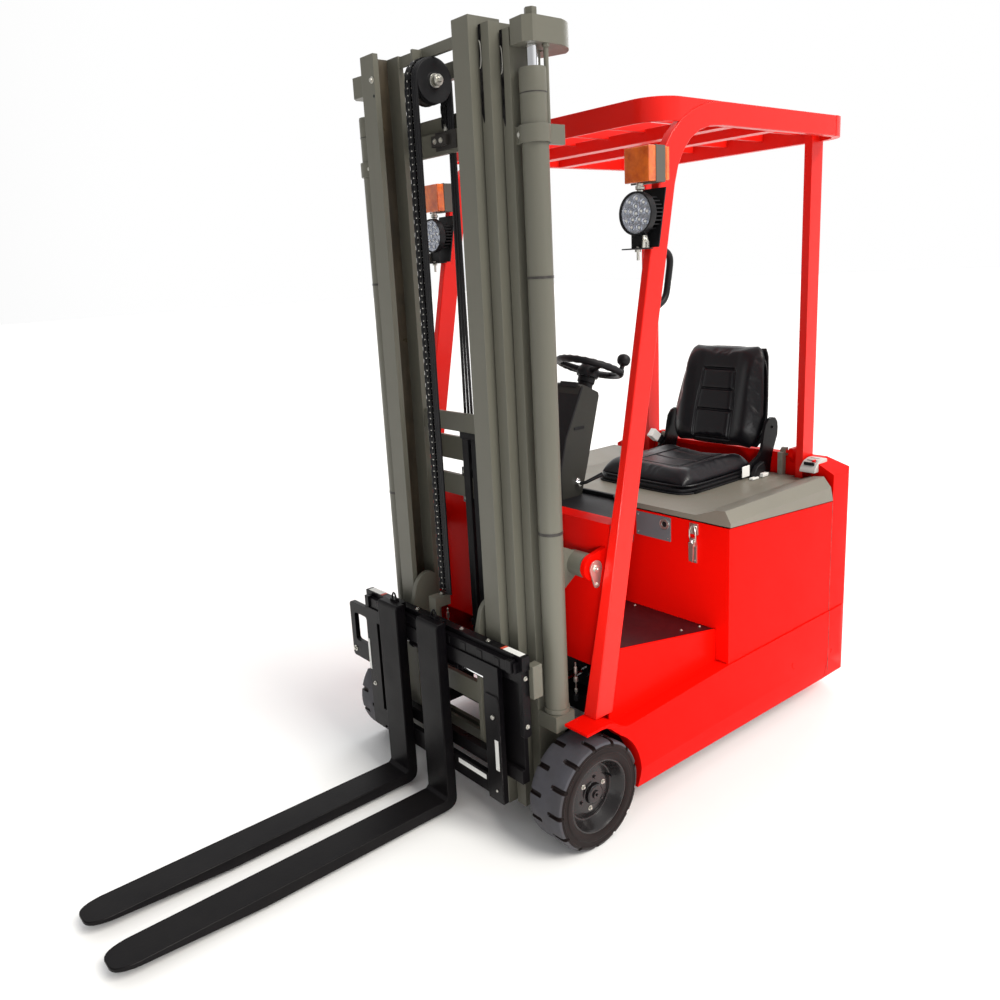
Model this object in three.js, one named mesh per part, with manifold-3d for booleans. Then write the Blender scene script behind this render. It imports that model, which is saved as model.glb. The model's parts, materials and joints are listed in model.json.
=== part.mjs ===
// A three-wheel electric counterbalance forklift with a three-stage mast and a side shifter.
// Millimetres, +Z up. The truck faces -Y and its left side is +X. The parts are laid out from
// the floor point below the front wheels' axis, and the whole group is centred at the end.
import * as THREE from 'three';
import { mergeVertices } from 'three/addons/utils/BufferGeometryUtils.js';
import Module from 'manifold-3d';

const wasm = await Module();
wasm.setup();

// ---------------------------------------------------------------- driving dimensions

const gap = 0.3;                  // between pieces that touch
const clearance = 5;              // between pieces that move past each other

const overallWidth = 1088;        // over the front tyres
const rearEnd = 1490;             // back of the counterweight
const wheelbase = 1230;

const tyreRadius = 172;
const tyreWidth = 138;
const rimRadius = 117;
const stubRadius = 26;
const rearTyreRadius = 155;
const rearTyreWidth = 110;
const rearRimRadius = 105;
const wheelSides = 36;             // facets round each wheel

const bodyHalfWidth = 541;
const skin = 6;                   // sheet of the body panels
const setBack = 4;                // of the upper side panels behind the lower beams
const bodyFront = 650;            // front of the battery compartment
const sideRear = 1300;            // where the body sides meet the counterweight
const sillInner = 484;            // inner face of the lower side beams
const sillTop = 380;
const sillBottom = 92;
const hoodEdgeFront = 867;        // lower edge of the hood at its front
const hoodEdgeRear = 823;

const floorRear = 493;            // top of the floor at the battery compartment
const floorFront = 581;           // top of the floor at the cowl
const cowlTop = 973;

const legWide = 52;               // the overhead guard's legs, at their feet
const railWide = 27;              // the same bars above the flare, and along the roof
const flareTop = 1150;
const legDeep = 74;
const legFoot = 2 * tyreRadius + 52;    // top of the fender, where the legs stand
const legFootY = 34;              // front edge of a leg at its foot
const legLean = 0.202;            // rearward run for each unit of height
const roofTop = 2187;
const roofDeep = 67;
const roofFront = 350;
const roofRear = 1397;
const roofCorner = 100;           // radius of the roof's corners in plan
const postOuter = 395;
const postWide = 30;
const postDeep = 72;
const postFront = roofRear - postDeep;

const railDeep = 110;             // depth of each mast rail
const flange = 19;                // thickness of a rail's flanges
const web = 12;                   // thickness of a rail's web
const innerRail = { inside: 192, outside: 262, front: -125, bottom: 75, top: 2385 };
const midRail = { inside: 267, outside: 308, front: -95, bottom: 70, top: 2362 };
const outerRail = { inside: 313, outside: 349, front: -62, bottom: 65, top: 2342 };
const outerRear = outerRail.front + railDeep;
const pivotY = outerRear + 58;    // the pins that the mast tilts on
const pivotZ = 850;
const pivotPin = 16;
const cowlFront = pivotY + 59;

const liftX = 390;                // axis of each lift cylinder
const liftY = -21;
const liftRadius = 36;
const legInner = liftX + liftRadius + 22;
const legOuter = legInner + legWide;
const railInner = legOuter - railWide;
const liftBore = 24;
const footDeep = 52;              // block under each lift cylinder
const liftFoot = 2 * tyreRadius + footDeep + 16;
const liftTop = 2237;
const liftRod = 15;
const bracketLow = 2295;
const bracketHigh = 2358;

const guideLow = 594;             // the bar on the carriage that the side shifter hangs from
const carriageFront = -180;       // front face of the carriage's plates
const shiftDeep = 18;
const forkThick = 38;
const shiftFront = carriageFront - clearance + gap - shiftDeep;
const shankFront = shiftFront - gap - forkThick;
const forkLength = 1070;
const forkWidth = 111;
const forkTop = 56;
const forkTipThick = 12;
const shankTop = 668;
const forkCentres = [31.5, -193.5];

const tiltX = 250;                // tilt cylinders, below the floor
const tiltAnchor = { y: 520, z: 430 };
const tiltPin = { y: outerRear + 44, z: 405 };

const pulley = { y: -35, z: 2281, radius: 58 };

const seatHalf = 230;
const backHalf = 222;             // seat backrest, at its widest
const shoulderHalf = 190;
const dashHalf = 430;
const hoodHinge = { y: 1352, z: 975 };
const hoodArmX = 300;
const recess = 446;               // half width of the counterweight's recess for the hood's tail
const deckFront = 1362;           // front of the counterweight's deck, behind the hood
const wheelHub = { y: 568, z: 1380, lean: 0.38, below: 36, tall: 44 };    // steering wheel

// ---------------------------------------------------------------- shapes and booleans

// A Manifold from any closed three.js geometry, with its faces turned outwards.
function solid(geometry) {
  const bare = geometry.clone();
  bare.deleteAttribute('normal');
  bare.deleteAttribute('uv');
  const merged = mergeVertices(bare, 1e-3);
  const p = merged.attributes.position.array;
  const kept = [];
  let volume = 0;
  for (let i = 0; i < merged.index.count; i += 3) {
    const [a, b, c] = [0, 1, 2].map((k) => merged.index.getX(i + k));
    if (a !== b && b !== c && a !== c) {
      kept.push(a, b, c);
      const [u, v, w] = [a, b, c].map((k) => new THREE.Vector3().fromArray(p, 3 * k));
      volume += u.dot(v.cross(w));
    }
  }
  if (volume < 0) {
    kept.reverse();
  }
  const mesh = new wasm.Mesh({
    numProp: 3,
    vertProperties: new Float32Array(p),
    triVerts: new Uint32Array(kept),
  });
  return new wasm.Manifold(mesh);
}

// The three.js geometry of a Manifold.
function geometryOf(body) {
  const mesh = body.getMesh();
  const geometry = new THREE.BufferGeometry();
  geometry.setAttribute('position', new THREE.BufferAttribute(mesh.vertProperties, 3));
  geometry.setIndex(new THREE.BufferAttribute(mesh.triVerts, 1));
  return geometry;
}

const join = (first, ...others) => others.reduce((all, next) => all.add(next), first);
const cut = (first, ...others) => others.reduce((all, next) => all.subtract(next), first);

// The same body on the truck's other side.
function mirrored(body) {
  const geometry = geometryOf(body);
  geometry.scale(-1, 1, 1);
  return solid(geometry);
}

function box(x0, x1, y0, y1, z0, z1) {
  const geometry = new THREE.BoxGeometry(x1 - x0, y1 - y0, z1 - z0);
  geometry.translate((x0 + x1) / 2, (y0 + y1) / 2, (z0 + z1) / 2);
  return solid(geometry);
}

// A THREE.Shape through corner points, or a shape given as it is.
function outline(points) {
  if (points instanceof THREE.Shape) {
    return points;
  }
  return new THREE.Shape(points.map(([a, b]) => new THREE.Vector2(a, b)));
}

function prism(points, length, axes, start) {
  const geometry = new THREE.ExtrudeGeometry(outline(points), {
    depth: length,
    bevelEnabled: false,
    curveSegments: 6,
  });
  geometry.applyMatrix4(new THREE.Matrix4().makeBasis(...axes).setPosition(start));
  return solid(geometry);
}

const X = new THREE.Vector3(1, 0, 0);
const Y = new THREE.Vector3(0, 1, 0);
const Z = new THREE.Vector3(0, 0, 1);

// Prisms of an outline: (y, z) along X, (x, z) along Y and (x, y) along Z.
const prismX = (points, x0, x1) => prism(points, x1 - x0, [Y, Z, X], new THREE.Vector3(x0, 0, 0));
const prismY = (points, y0, y1) =>
  prism(points, y1 - y0, [X, Z, Y.clone().negate()], new THREE.Vector3(0, y1, 0));
const prismZ = (points, z0, z1) => prism(points, z1 - z0, [X, Y, Z], new THREE.Vector3(0, 0, z0));

// A round bar between two points.
function bar(from, to, radius, sides = 16) {
  const a = new THREE.Vector3(...from);
  const b = new THREE.Vector3(...to);
  const along = b.clone().sub(a);
  const geometry = new THREE.CylinderGeometry(radius, radius, along.length(), sides);
  geometry.applyQuaternion(new THREE.Quaternion().setFromUnitVectors(Y, along.normalize()));
  geometry.translate(...a.add(b).multiplyScalar(0.5).toArray());
  return solid(geometry);
}

// A solid of revolution about an X axis through (x, y, z): profile points are [along, radius].
function turnedX(profile, x, y, z, sides) {
  const points = profile.map(([along, radius]) => new THREE.Vector2(radius, along));
  const geometry = new THREE.LatheGeometry(points, sides);
  geometry.rotateZ(-Math.PI / 2);
  geometry.translate(x, y, z);
  return solid(geometry);
}

function roundedRect(a0, a1, b0, b1, r) {
  const shape = new THREE.Shape();
  shape.moveTo(a0 + r, b0);
  shape.lineTo(a1 - r, b0);
  shape.absarc(a1 - r, b0 + r, r, -Math.PI / 2, 0, false);
  shape.lineTo(a1, b1 - r);
  shape.absarc(a1 - r, b1 - r, r, 0, Math.PI / 2, false);
  shape.lineTo(a0 + r, b1);
  shape.absarc(a0 + r, b1 - r, r, Math.PI / 2, Math.PI, false);
  shape.lineTo(a0, b0 + r);
  shape.absarc(a0 + r, b0 + r, r, Math.PI, 1.5 * Math.PI, false);
  return shape;
}

// ---------------------------------------------------------------- materials

function finish(color, roughness, metalness) {
  return new THREE.MeshStandardMaterial({ color, roughness, metalness });
}

const red = finish('#e01b14', 0.35, 0.1);
const mastGrey = finish('#5e5d52', 0.5, 0.2);
const coverGrey = finish('#7b7a70', 0.5, 0.1);
const black = finish('#17171a', 0.45, 0.2);
const plastic = finish('#1c1c1e', 0.6, 0);
const vinyl = finish('#141416', 0.5, 0);
const rubber = finish('#3d3d42', 0.85, 0);
const steel = finish('#b9bbbd', 0.25, 0.9);
const amber = finish('#e2761b', 0.3, 0);
const iron = finish('#3a3a3c', 0.6, 0.4);
const matting = finish('#3a0d10', 0.8, 0);

const truck = new THREE.Group();

function add(name, body, material) {
  const mesh = new THREE.Mesh(geometryOf(body), material);
  mesh.name = name;
  truck.add(mesh);
}

// Makes NAME_left as given and NAME_right as its mirror image.
function addPair(name, body, material) {
  add(`${name}_left`, body, material);
  add(`${name}_right`, mirrored(body), material);
}

// ---------------------------------------------------------------- wheels

const wheelX = (overallWidth - tyreWidth) / 2;

function tyre(radius, width, inner, x, y) {
  const half = width / 2;
  const profile = [
    [-half + 4, inner], [-half, inner + 12], [-half, radius - 22], [-half + 8, radius - 5],
    [-half + 22, radius], [half - 22, radius], [half - 8, radius - 5], [half, radius - 22],
    [half, inner + 12], [half - 4, inner], [-half + 4, inner],
  ];
  return turnedX(profile, x, y, radius, wheelSides);
}

// The rim's outer face is at +X. The stub axle enters the pocket from the other side.
function rim(x, y, z, radius, half, pocket) {
  const r = radius - gap;
  const profile = [
    [half - 14, 0], [half - 14, 30], [half - 26, 34], [half - 30, 62], [half - 34, 84],
    [half - 8, r - 8], [half - 6, r], [-half + 6, r], [-half + 8, r - 8], [-half + 40, r - 16],
    [half - 50, 80], [half - 56, 46], [-half + 18, 40], [-half + 18, stubRadius + 0.5],
    [pocket, stubRadius + 0.5], [pocket, 0],
  ];
  return turnedX(profile, x, y, z, wheelSides);
}

function frontWheels() {
  addPair('front_tyre', tyre(tyreRadius, tyreWidth, rimRadius, wheelX, 0), rubber);
  addPair('front_rim', rim(wheelX, 0, tyreRadius, rimRadius, tyreWidth / 2, 36), black);
}

// The stub axles stand on two arms that reach forward from a crossmember under the cowl.
const armInner = 362;
const armOuter = 392;
const armRear = bodyFront - 90;
const crossFront = tyreRadius + 2 * clearance;
const crossRear = crossFront + 60;

function frontAxle() {
  const arm = new THREE.Shape();
  arm.moveTo(crossFront, 110);
  arm.lineTo(0, tyreRadius - 62);
  arm.absarc(0, tyreRadius, 62, -Math.PI / 2, Math.PI / 2, true);
  arm.lineTo(60, tyreRadius + 62);
  arm.lineTo(crossFront, 352);
  const side = join(
    prismX(arm, armInner, armOuter),
    bar([armOuter - 1, 0, tyreRadius], [wheelX + 34, 0, tyreRadius], stubRadius),
    bar([armOuter - 1, 0, tyreRadius], [armOuter + 14, 0, tyreRadius], 46),
    box(armInner, armOuter, crossFront - 1, armRear - gap, 250, 330),
  );
  const cross = box(-sillInner + gap, sillInner - gap, crossFront, crossRear, 110, 352);
  const window = box(-armInner, armInner, crossFront - 1, crossRear + 1, 170, 290);
  add('front_axle_frame', join(cut(cross, window), side, mirrored(side)), black);
}

function rearWheel() {
  add('rear_tyre', tyre(rearTyreRadius, rearTyreWidth, rearRimRadius, 0, wheelbase), rubber);
  const turned = rim(0, wheelbase, rearTyreRadius, rearRimRadius, rearTyreWidth / 2, 18);
  add('rear_rim', mirrored(turned), black);
}

// The drive unit turns about the vertical axis over the rear wheel.
const turntable = { top: 380, bottom: 364, radius: 150 };

function driveUnit() {
  const armIn = rearTyreWidth / 2 + clearance;
  const arm = join(
    box(armIn, armIn + 36, wheelbase - 55, wheelbase + 55, rearTyreRadius, turntable.bottom + 1),
    bar([armIn, wheelbase, rearTyreRadius], [armIn + 36, wheelbase, rearTyreRadius], 55),
    bar([-16, wheelbase, rearTyreRadius], [armIn + 1, wheelbase, rearTyreRadius], stubRadius),
  );
  const top = join(
    bar([0, wheelbase, turntable.bottom], [0, wheelbase, turntable.top], turntable.radius, 40),
    bar([0, wheelbase, turntable.top - 1], [0, wheelbase, 640], 92, 32),
  );
  add('drive_unit', join(arm, top), iron);
}

// ---------------------------------------------------------------- chassis and body

const batteryFront = 675;
const batteryRear = 1050;
const trayRear = 1060;

function chassis() {
  const plateLow = turntable.top + gap;
  const wide = sillInner - gap;
  const tray = join(
    box(-wide, wide, armRear, trayRear, 95, 107),
    box(-wide, wide, armRear, armRear + 14, 95, 345),
    box(-wide + skin + gap, wide - skin - gap, armRear, armRear + 14, 340, 484),
    box(-wide, wide, trayRear - 8, trayRear, 95, plateLow + 12),
    box(-wide, wide, trayRear - 8, sideRear, plateLow, plateLow + 12),
  );
  const bore = bar([0, wheelbase, plateLow - 5], [0, wheelbase, plateLow + 20], 92 + clearance, 40);
  let frame = cut(tray, bore);
  for (const side of [-1, 1]) {
    for (const offset of [-28, 20]) {
      const x = side * tiltX + offset;
      const ear = join(
        box(x, x + 8, tiltAnchor.y, armRear + 1, tiltAnchor.z - 26, tiltAnchor.z + 26),
        bar([x, tiltAnchor.y, tiltAnchor.z], [x + 8, tiltAnchor.y, tiltAnchor.z], 26),
      );
      frame = join(frame, ear);
    }
    const x = side * tiltX;
    frame = join(frame, bar([x - 24, tiltAnchor.y, tiltAnchor.z], [x + 24, tiltAnchor.y, tiltAnchor.z], 10));
  }
  add('chassis_frame', frame, black);
  add('battery', box(-415, 415, batteryFront, batteryRear, 107 + gap, 780), iron);
}

// What the slope along the body's lower edge takes away.
const keelCut = (y0, y1) =>
  prismY([[bodyHalfWidth + 1, 190], [bodyHalfWidth + 1, 0], [bodyHalfWidth - 30, 0]], y0, y1);

// Lower beam, fender, floor riser and upper panel of one side.
function bodySide() {
  const lip = new THREE.Shape();
  const arch = tyreRadius + 20;
  const under = legFoot - 8;
  lip.moveTo(-47, under);
  lip.lineTo(20, under);
  lip.bezierCurveTo(52, under, 66, under - 26, arch * 0.51, tyreRadius + arch * 0.8655);
  lip.absarc(0, tyreRadius, arch, Math.PI / 3, -0.3, true);
  lip.lineTo(sideRear, sillBottom);
  lip.lineTo(sideRear, sillTop);
  lip.lineTo(bodyFront, sillTop - 2);
  lip.lineTo(150, tyreRadius + 0.958 * arch);
  lip.bezierCurveTo(100, tyreRadius + 0.938 * arch, 80, legFoot, 40, legFoot);
  lip.lineTo(-47, legFoot);
  const beam = cut(
    prismX(lip, legInner - 1, bodyHalfWidth),
    box(0, sillInner, 150, sideRear + 1, 0, 400),
    keelCut(-100, sideRear + 1),
  );
  const legBack = (z) => legFootY + legDeep + legLean * (z - legFoot) + 1;
  const riserTop = (y) => floorFront + (y - cowlFront) * (floorRear - floorFront) / (bodyFront - cowlFront);
  const riser = prismX([
    [legBack(legFoot), under - 38], [bodyFront + 6, sillTop - 4], [bodyFront + 6, riserTop(bodyFront)],
    [cowlFront, riserTop(cowlFront)], [legBack(floorFront), riserTop(cowlFront)], [legBack(legFoot), legFoot],
  ], sillInner - skin, sillInner + 1);
  const panel = prismX([
    [bodyFront, sillTop - 4], [sideRear, sillTop - 4], [sideRear, hoodEdgeRear - clearance],
    [bodyFront, hoodEdgeFront - clearance],
  ], bodyHalfWidth - 2 * skin, bodyHalfWidth - setBack);
  return join(beam, riser, panel);
}

function body() {
  addPair('body_side', bodySide(), red);
  const inside = bodyHalfWidth - 2 * skin - gap;
  const kick = cut(
    box(-inside, inside, bodyFront, bodyFront + skin, sillTop + 1, hoodEdgeFront - clearance),
    box(sillInner - skin - gap, sillInner + 1 + gap, bodyFront - 1, bodyFront + skin + 1, 300, floorRear + 2),
    box(-sillInner - 1 - gap, -sillInner + skin + gap, bodyFront - 1, bodyFront + skin + 1, 300, floorRear + 2),
  );
  add('kick_panel', kick, red);

  const slope = (floorRear - floorFront) / (bodyFront - cowlFront);
  const wide = sillInner - skin - gap;
  const front = cowlFront + skin + gap;
  const rear = bodyFront - gap;
  const topAt = (y) => floorFront + (y - cowlFront) * slope;
  add('floor_plate', prismX([
    [front, topAt(front) - skin], [rear, topAt(rear) - skin], [rear, topAt(rear)], [front, topAt(front)],
  ], -wide, wide), matting);

  cowl(wide);
}

// The red front panel with the two lugs and pins that the mast swings on.
function cowl(wide) {
  const lugIn = 420;
  const lugOut = 438;
  const legIn = legInner - gap;
  const lugShape = new THREE.Shape();
  lugShape.moveTo(cowlFront + 1, pivotZ - 60);
  lugShape.lineTo(pivotY, pivotZ - 46);
  lugShape.absarc(pivotY, pivotZ, 40, -Math.PI / 2, Math.PI / 2, true);
  lugShape.lineTo(cowlFront + 1, pivotZ + 52);
  const lug = join(
    prismX(lugShape, lugIn, lugOut),
    bar([353, pivotY, pivotZ], [lugOut + 6, pivotY, pivotZ], pivotPin),
  );
  const panel = join(
    box(-wide, wide, cowlFront, cowlFront + skin, 485, 600),
    box(-legIn, legIn, cowlFront, cowlFront + skin, 485, cowlTop),
    box(-legIn, legIn, cowlFront, cowlFront + 60, cowlTop - skin, cowlTop),
  );
  add('front_cowl', join(panel, lug, mirrored(lug)), red);
}

// The counterweight, with the rear wheel's well and the drive motor's recess.
function counterweight() {
  const r = 110;
  const plan = new THREE.Shape();
  plan.moveTo(-bodyHalfWidth, sideRear + 3);
  plan.lineTo(bodyHalfWidth, sideRear + 3);
  plan.lineTo(bodyHalfWidth, rearEnd - r);
  plan.absarc(bodyHalfWidth - r, rearEnd - r, r, 0, Math.PI / 2, false);
  plan.lineTo(-bodyHalfWidth + r, rearEnd);
  plan.absarc(-bodyHalfWidth + r, rearEnd - r, r, Math.PI / 2, Math.PI, false);
  const inside = bodyHalfWidth - 2 * skin - gap;
  const block = join(
    prismZ(plan, sillBottom, 965),
    box(-inside, inside, 1245, sideRear + 4, turntable.top + 12 + 2 * gap, 818),
  );
  const shoulder = join(
    prismY([[recess + 4, 966], [bodyHalfWidth + 1, 918], [bodyHalfWidth + 1, 1000], [recess + 4, 1000]], 1200, rearEnd + 1),
    box(bodyHalfWidth - setBack, bodyHalfWidth + 1, sideRear, rearEnd + 1, sillTop, 1000),
  );
  const body = cut(
    block,
    prismX([[1400, 966], [rearEnd + 1, 878], [rearEnd + 1, 1000], [1400, 1000]], -bodyHalfWidth - 1, bodyHalfWidth + 1),
    box(-recess, recess, 1240, deckFront, 818, 1000),
    box(-175, 175, 1240, 1410, 0, turntable.top + 14),
    box(-140, 140, 1240, 1350, 300, 690),
    shoulder,
    mirrored(shoulder),
    keelCut(sideRear - 1, rearEnd + 1),
    mirrored(keelCut(sideRear - 1, rearEnd + 1)),
    ...[-postOuter - gap, postOuter - postWide - gap].map((x) => box(
      x, x + postWide + 2 * gap, deckFront - 1, roofRear + gap, 818, 1000,
    )),
  );
  let weight = body;
  for (const side of [-1, 1]) {
    const x = side * (hoodArmX + 33);
    weight = join(
      weight,
      prismX([[deckFront + 1, 930], [1340, 955], [1340, 990], [deckFront + 1, 990]], x - 8, x + 8),
      box(x - 8, x + 8, deckFront, deckFront + 30, 950, 990),
      bar([x - side * 50, hoodHinge.y, hoodHinge.z], [x, hoodHinge.y, hoodHinge.z], 7),
    );
  }
  add('counterweight', weight, red);
}

// The grey hood over the battery, hinged at the back on two arms.
function hood() {
  const half = [
    [bodyHalfWidth, 700], [bodyHalfWidth, 880], [bodyHalfWidth - 22, 920], [bodyHalfWidth - 60, 916],
    [400, 886],
  ];
  const section = [...half, ...half.slice().reverse().map(([x, z]) => [-x, z])];
  const skinThick = 14;
  const innerHalf = half.map(([x, z]) => [x - skinThick, z - skinThick - 2]);
  const innerSection = [...innerHalf, ...innerHalf.slice().reverse().map(([x, z]) => [-x, z])];
  const front = bodyFront;
  const edge = (y) => hoodEdgeFront + (y - bodyFront) * (hoodEdgeRear - hoodEdgeFront) / (sideRear - bodyFront);
  const shell = cut(
    prismY(section, front, 1335),
    prismY(innerSection, front + skinThick, 1325),
    prismX([[front - 1, edge(front)], [1400, edge(1400)], [1400, 600], [front - 1, 600]], -bodyHalfWidth - 1, bodyHalfWidth + 1),
  );
  let lid = shell;
  for (const side of [-1, 1]) {
    const near = [postOuter - postWide - 8, postOuter + 8];
    const posts = side > 0 ? near : [-near[1], -near[0]];
    const outer = side > 0 ? [recess - clearance, bodyHalfWidth + 1] : [-bodyHalfWidth - 1, -recess + clearance];
    lid = cut(
      lid,
      box(...posts, postFront - 12, 1400, 600, 1000),
      prismX([[1303, 600], [1298, 820], [1262, 925], [1400, 925], [1400, 600]], ...outer),
    );
    const x = side * hoodArmX;
    const arm = cut(
      join(
        box(x - 10, x + 10, 1318, 1345, 872, hoodHinge.z),
        bar([x - 10, hoodHinge.y, hoodHinge.z], [x + 10, hoodHinge.y, hoodHinge.z], 17),
      ),
      bar([x - 12, hoodHinge.y, hoodHinge.z], [x + 12, hoodHinge.y, hoodHinge.z], 8),
    );
    lid = join(lid, cut(arm, box(x - 30, x + 30, deckFront - 1, 1400, 800, 1000)));
  }
  add('hood', lid, coverGrey);
}

function seat() {
  const deck = 886;
  const bracket = prismX([
    [1200, deck + gap], [1300, deck + gap], [1352, 960], [1385, 1080], [1365, 1100], [1340, 1085],
    [1315, 990], [1230, 930],
  ], seatHalf + 2, seatHalf + 12);
  const base = join(
    box(-seatHalf - 3, seatHalf + 3, 870, 1290, deck + gap, deck + 10),
    bracket,
    mirrored(bracket),
  );
  add('seat_frame', base, black);
  const cushion = prismX([
    [830, 900], [845, deck + 10 + gap], [1285, deck + 10 + gap], [1290, 950], [1180, 945],
    [900, 962], [850, 950],
  ], -seatHalf, seatHalf);
  add('seat_cushion', cushion, vinyl);
  const pad = prismX([
    [1262, 975], [1300, 968], [1338, 985], [1425, 1370], [1410, 1396], [1380, 1398], [1360, 1380],
  ], -backHalf, backHalf).intersect(prismY([
    [-backHalf, 900], [backHalf, 900], [backHalf, 1130], [shoulderHalf, 1330], [shoulderHalf - 60, 1400],
    [60 - shoulderHalf, 1400], [-shoulderHalf, 1330], [-backHalf, 1130],
  ], 1200, 1500));
  const crossBar = box(-seatHalf - 2 + gap, seatHalf + 2 - gap, 1350, 1372, 1060, 1090);
  add('seat_backrest', join(pad, crossBar), vinyl);
}

function controls() {
  const low = cowlTop - skin - gap;
  const dashFront = cowlFront + skin + gap;
  const shelf = prismX([
    [dashFront, 860], [300, 850], [345, 862], [350, 885], [300, 925], [225, low], [dashFront, low],
  ], -dashHalf, dashHalf);
  const middle = prismX([
    [dashFront, 850], [300, 840], [440, 850], [460, 880], [330, 925], [225, low - 1], [dashFront, low - 1],
  ], -150, 150);
  add('dash_console', join(shelf, middle), plastic);
  const profile = [
    [460, 1329], [545, 1290], [480, 1050], [430, 900], [344, 921], [346, 1050],
  ];
  const up = new THREE.Vector3(0, wheelHub.lean, Math.sqrt(1 - wheelHub.lean ** 2));
  const down = (d) => new THREE.Vector3(0, wheelHub.y, wheelHub.z).addScaledVector(up, -d).toArray();
  add('steering_column', join(
    prismX(profile, -65, 65),
    bar(down(110), down(wheelHub.below + gap), 24),
  ), plastic);

  const ring = new THREE.TorusGeometry(112, 13, 8, 28);
  const wheel = join(
    solid(ring),
    solid(new THREE.CylinderGeometry(34, 40, wheelHub.tall, 24).rotateX(Math.PI / 2)
      .translate(0, 0, wheelHub.tall / 2 - wheelHub.below)),
    solid(new THREE.BoxGeometry(20, 110, 8).translate(0, 60, 0)),
    solid(new THREE.BoxGeometry(200, 20, 8).translate(0, 0, 0)),
    solid(new THREE.CylinderGeometry(8, 8, 40, 12).rotateX(Math.PI / 2).translate(86, 72, 26)),
    solid(new THREE.SphereGeometry(22, 12, 8).translate(86, 72, 52)),
  );
  const tilted = geometryOf(wheel);
  tilted.rotateX(-Math.asin(wheelHub.lean));
  tilted.translate(0, wheelHub.y, wheelHub.z);
  add('steering_wheel', solid(tilted), plastic);
}

// ---------------------------------------------------------------- overhead guard

// One front leg, which curves over into the roof's side rail.
function guardSide() {
  const railLow = roofTop - roofDeep;
  const front = (z) => legFootY + legLean * (z - legFoot);
  const rear = (z) => front(z) + legDeep;
  const bendOut = roofTop - 177;
  const bendIn = railLow - 171;
  const side = new THREE.Shape();
  side.moveTo(legFootY, legFoot + gap);
  side.lineTo(front(bendOut), bendOut);
  side.bezierCurveTo(
    front(bendOut) + 23, bendOut + 80, front(bendOut) + 125, roofTop - 9, front(bendOut) + 275, roofTop,
  );
  side.lineTo(roofRear - roofCorner, roofTop);
  side.lineTo(roofRear - roofCorner, railLow);
  side.lineTo(rear(bendIn) + 228, railLow);
  side.bezierCurveTo(
    rear(bendIn) + 98, railLow, rear(bendIn) + 23, bendIn + 110, rear(bendIn), bendIn,
  );
  side.lineTo(rear(legFoot), legFoot + gap);
  const flare = prismY([
    [legInner, legFoot], [legOuter, legFoot], [legOuter, roofTop + 1], [railInner, roofTop + 1],
    [railInner, flareTop],
  ], legFootY - 1, roofRear);
  return prismX(side, legInner, legOuter).intersect(flare);
}

function guard() {
  const leg = guardSide();
  addPair('guard_side', leg, red);

  const r = roofCorner;
  const low = roofTop - roofDeep;
  const ring = (x, front) => {
    const plan = new THREE.Shape();
    plan.moveTo(x, 640);
    plan.lineTo(x, front + r);
    plan.absarc(x - r, front + r, r, 0, -Math.PI / 2, true);
    plan.lineTo(-x + r, front);
    plan.absarc(-x + r, front + r, r, -Math.PI / 2, -Math.PI, true);
    plan.lineTo(-x, 640);
    return plan;
  };
  const hoop = cut(
    prismZ(ring(legOuter - 1, roofFront), low, roofTop),
    prismZ(ring(legOuter - 9, roofFront + 8), low - 1, roofTop + 1),
    box(-legOuter, legOuter, 640 - 1, 700, low - 1, roofTop + 1),
  );
  const inside = railInner - gap;
  let bars = hoop;
  for (const y of [690, 920]) {
    bars = join(bars, box(-inside, inside, y, y + 50, low, low + 40));
  }
  for (const x of [-320, -160, 0, 160, 320]) {
    bars = join(bars, box(x - 5, x + 5, roofFront + 4, roofRear - railWide - gap, low + 30, roofTop - 4));
  }
  const trimmed = cut(bars, swollenSide(), mirrored(swollenSide()));
  add('guard_roof', trimmed, red);

  const corner = (x, y, radius) => {
    const plan = new THREE.Shape();
    plan.moveTo(-x, y + gap);
    plan.lineTo(-x, y + 1);
    plan.absarc(-x + radius, y + 1, radius, Math.PI, Math.PI / 2, true);
    plan.absarc(x - radius, y + 1, radius, Math.PI / 2, 0, true);
    plan.lineTo(x, y + gap);
    return plan;
  };
  const start = roofRear - r;
  const rearHoop = cut(
    prismZ(corner(legOuter, start, r - 1), low, roofTop),
    prismZ(corner(railInner, start - 2, r - railWide + 1), low - 1, roofTop + 1),
  );
  const post = box(postOuter - postWide, postOuter, postFront, roofRear, 818 + gap, roofTop - 2);
  add('guard_rear', join(post, mirrored(post), rearHoop), red);
}

// The guard side with a running gap all round, to trim what meets it.
function swollenSide() {
  const body = guardSide();
  const shifts = [[0, gap, 0], [0, -gap, 0], [0, 0, gap], [0, 0, -gap], [gap, 0, 0], [-gap, 0, 0]];
  const moved = shifts.map(([x, y, z]) => {
    const g = geometryOf(body);
    g.translate(x, y, z);
    return solid(g);
  });
  return join(...moved);
}

// A round work lamp on a plate on each front leg, and a turn signal above it.
function lamps() {
  const front = (z) => legFootY + legLean * (z - legFoot);
  const x = legOuter - 16;
  const half = 46;
  const z = roofTop - 319;
  const face = front(z) - 70;
  const low = z - 94;
  const high = z + 68;
  const plate = prismX([
    [front(low) - 5, low], [front(low) + 1, low], [front(high) + 1, high], [front(high) - 5, high],
  ], x - half, x + half);
  const lamp = join(
    plate,
    bar([x, face, z], [x, face + 34, z], 60, 32),
    bar([x, face + 33, z], [x, front(z) - 2, z], 44, 24),
    box(x - 14, x + 14, face + 12, face + 26, low, z - 50),
    box(x - 24, x + 24, face - 30, front(low) - 1, low - 4, low + 1),
  );
  addPair('work_lamp', cut(lamp, swollenSide()), plastic);

  const bottom = roofTop - 238;
  const signal = box(x - half, x + half, front(bottom) - 78, front(bottom) + 13, bottom, bottom + 98);
  addPair('turn_signal', cut(signal, swollenSide()), amber);
}

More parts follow.
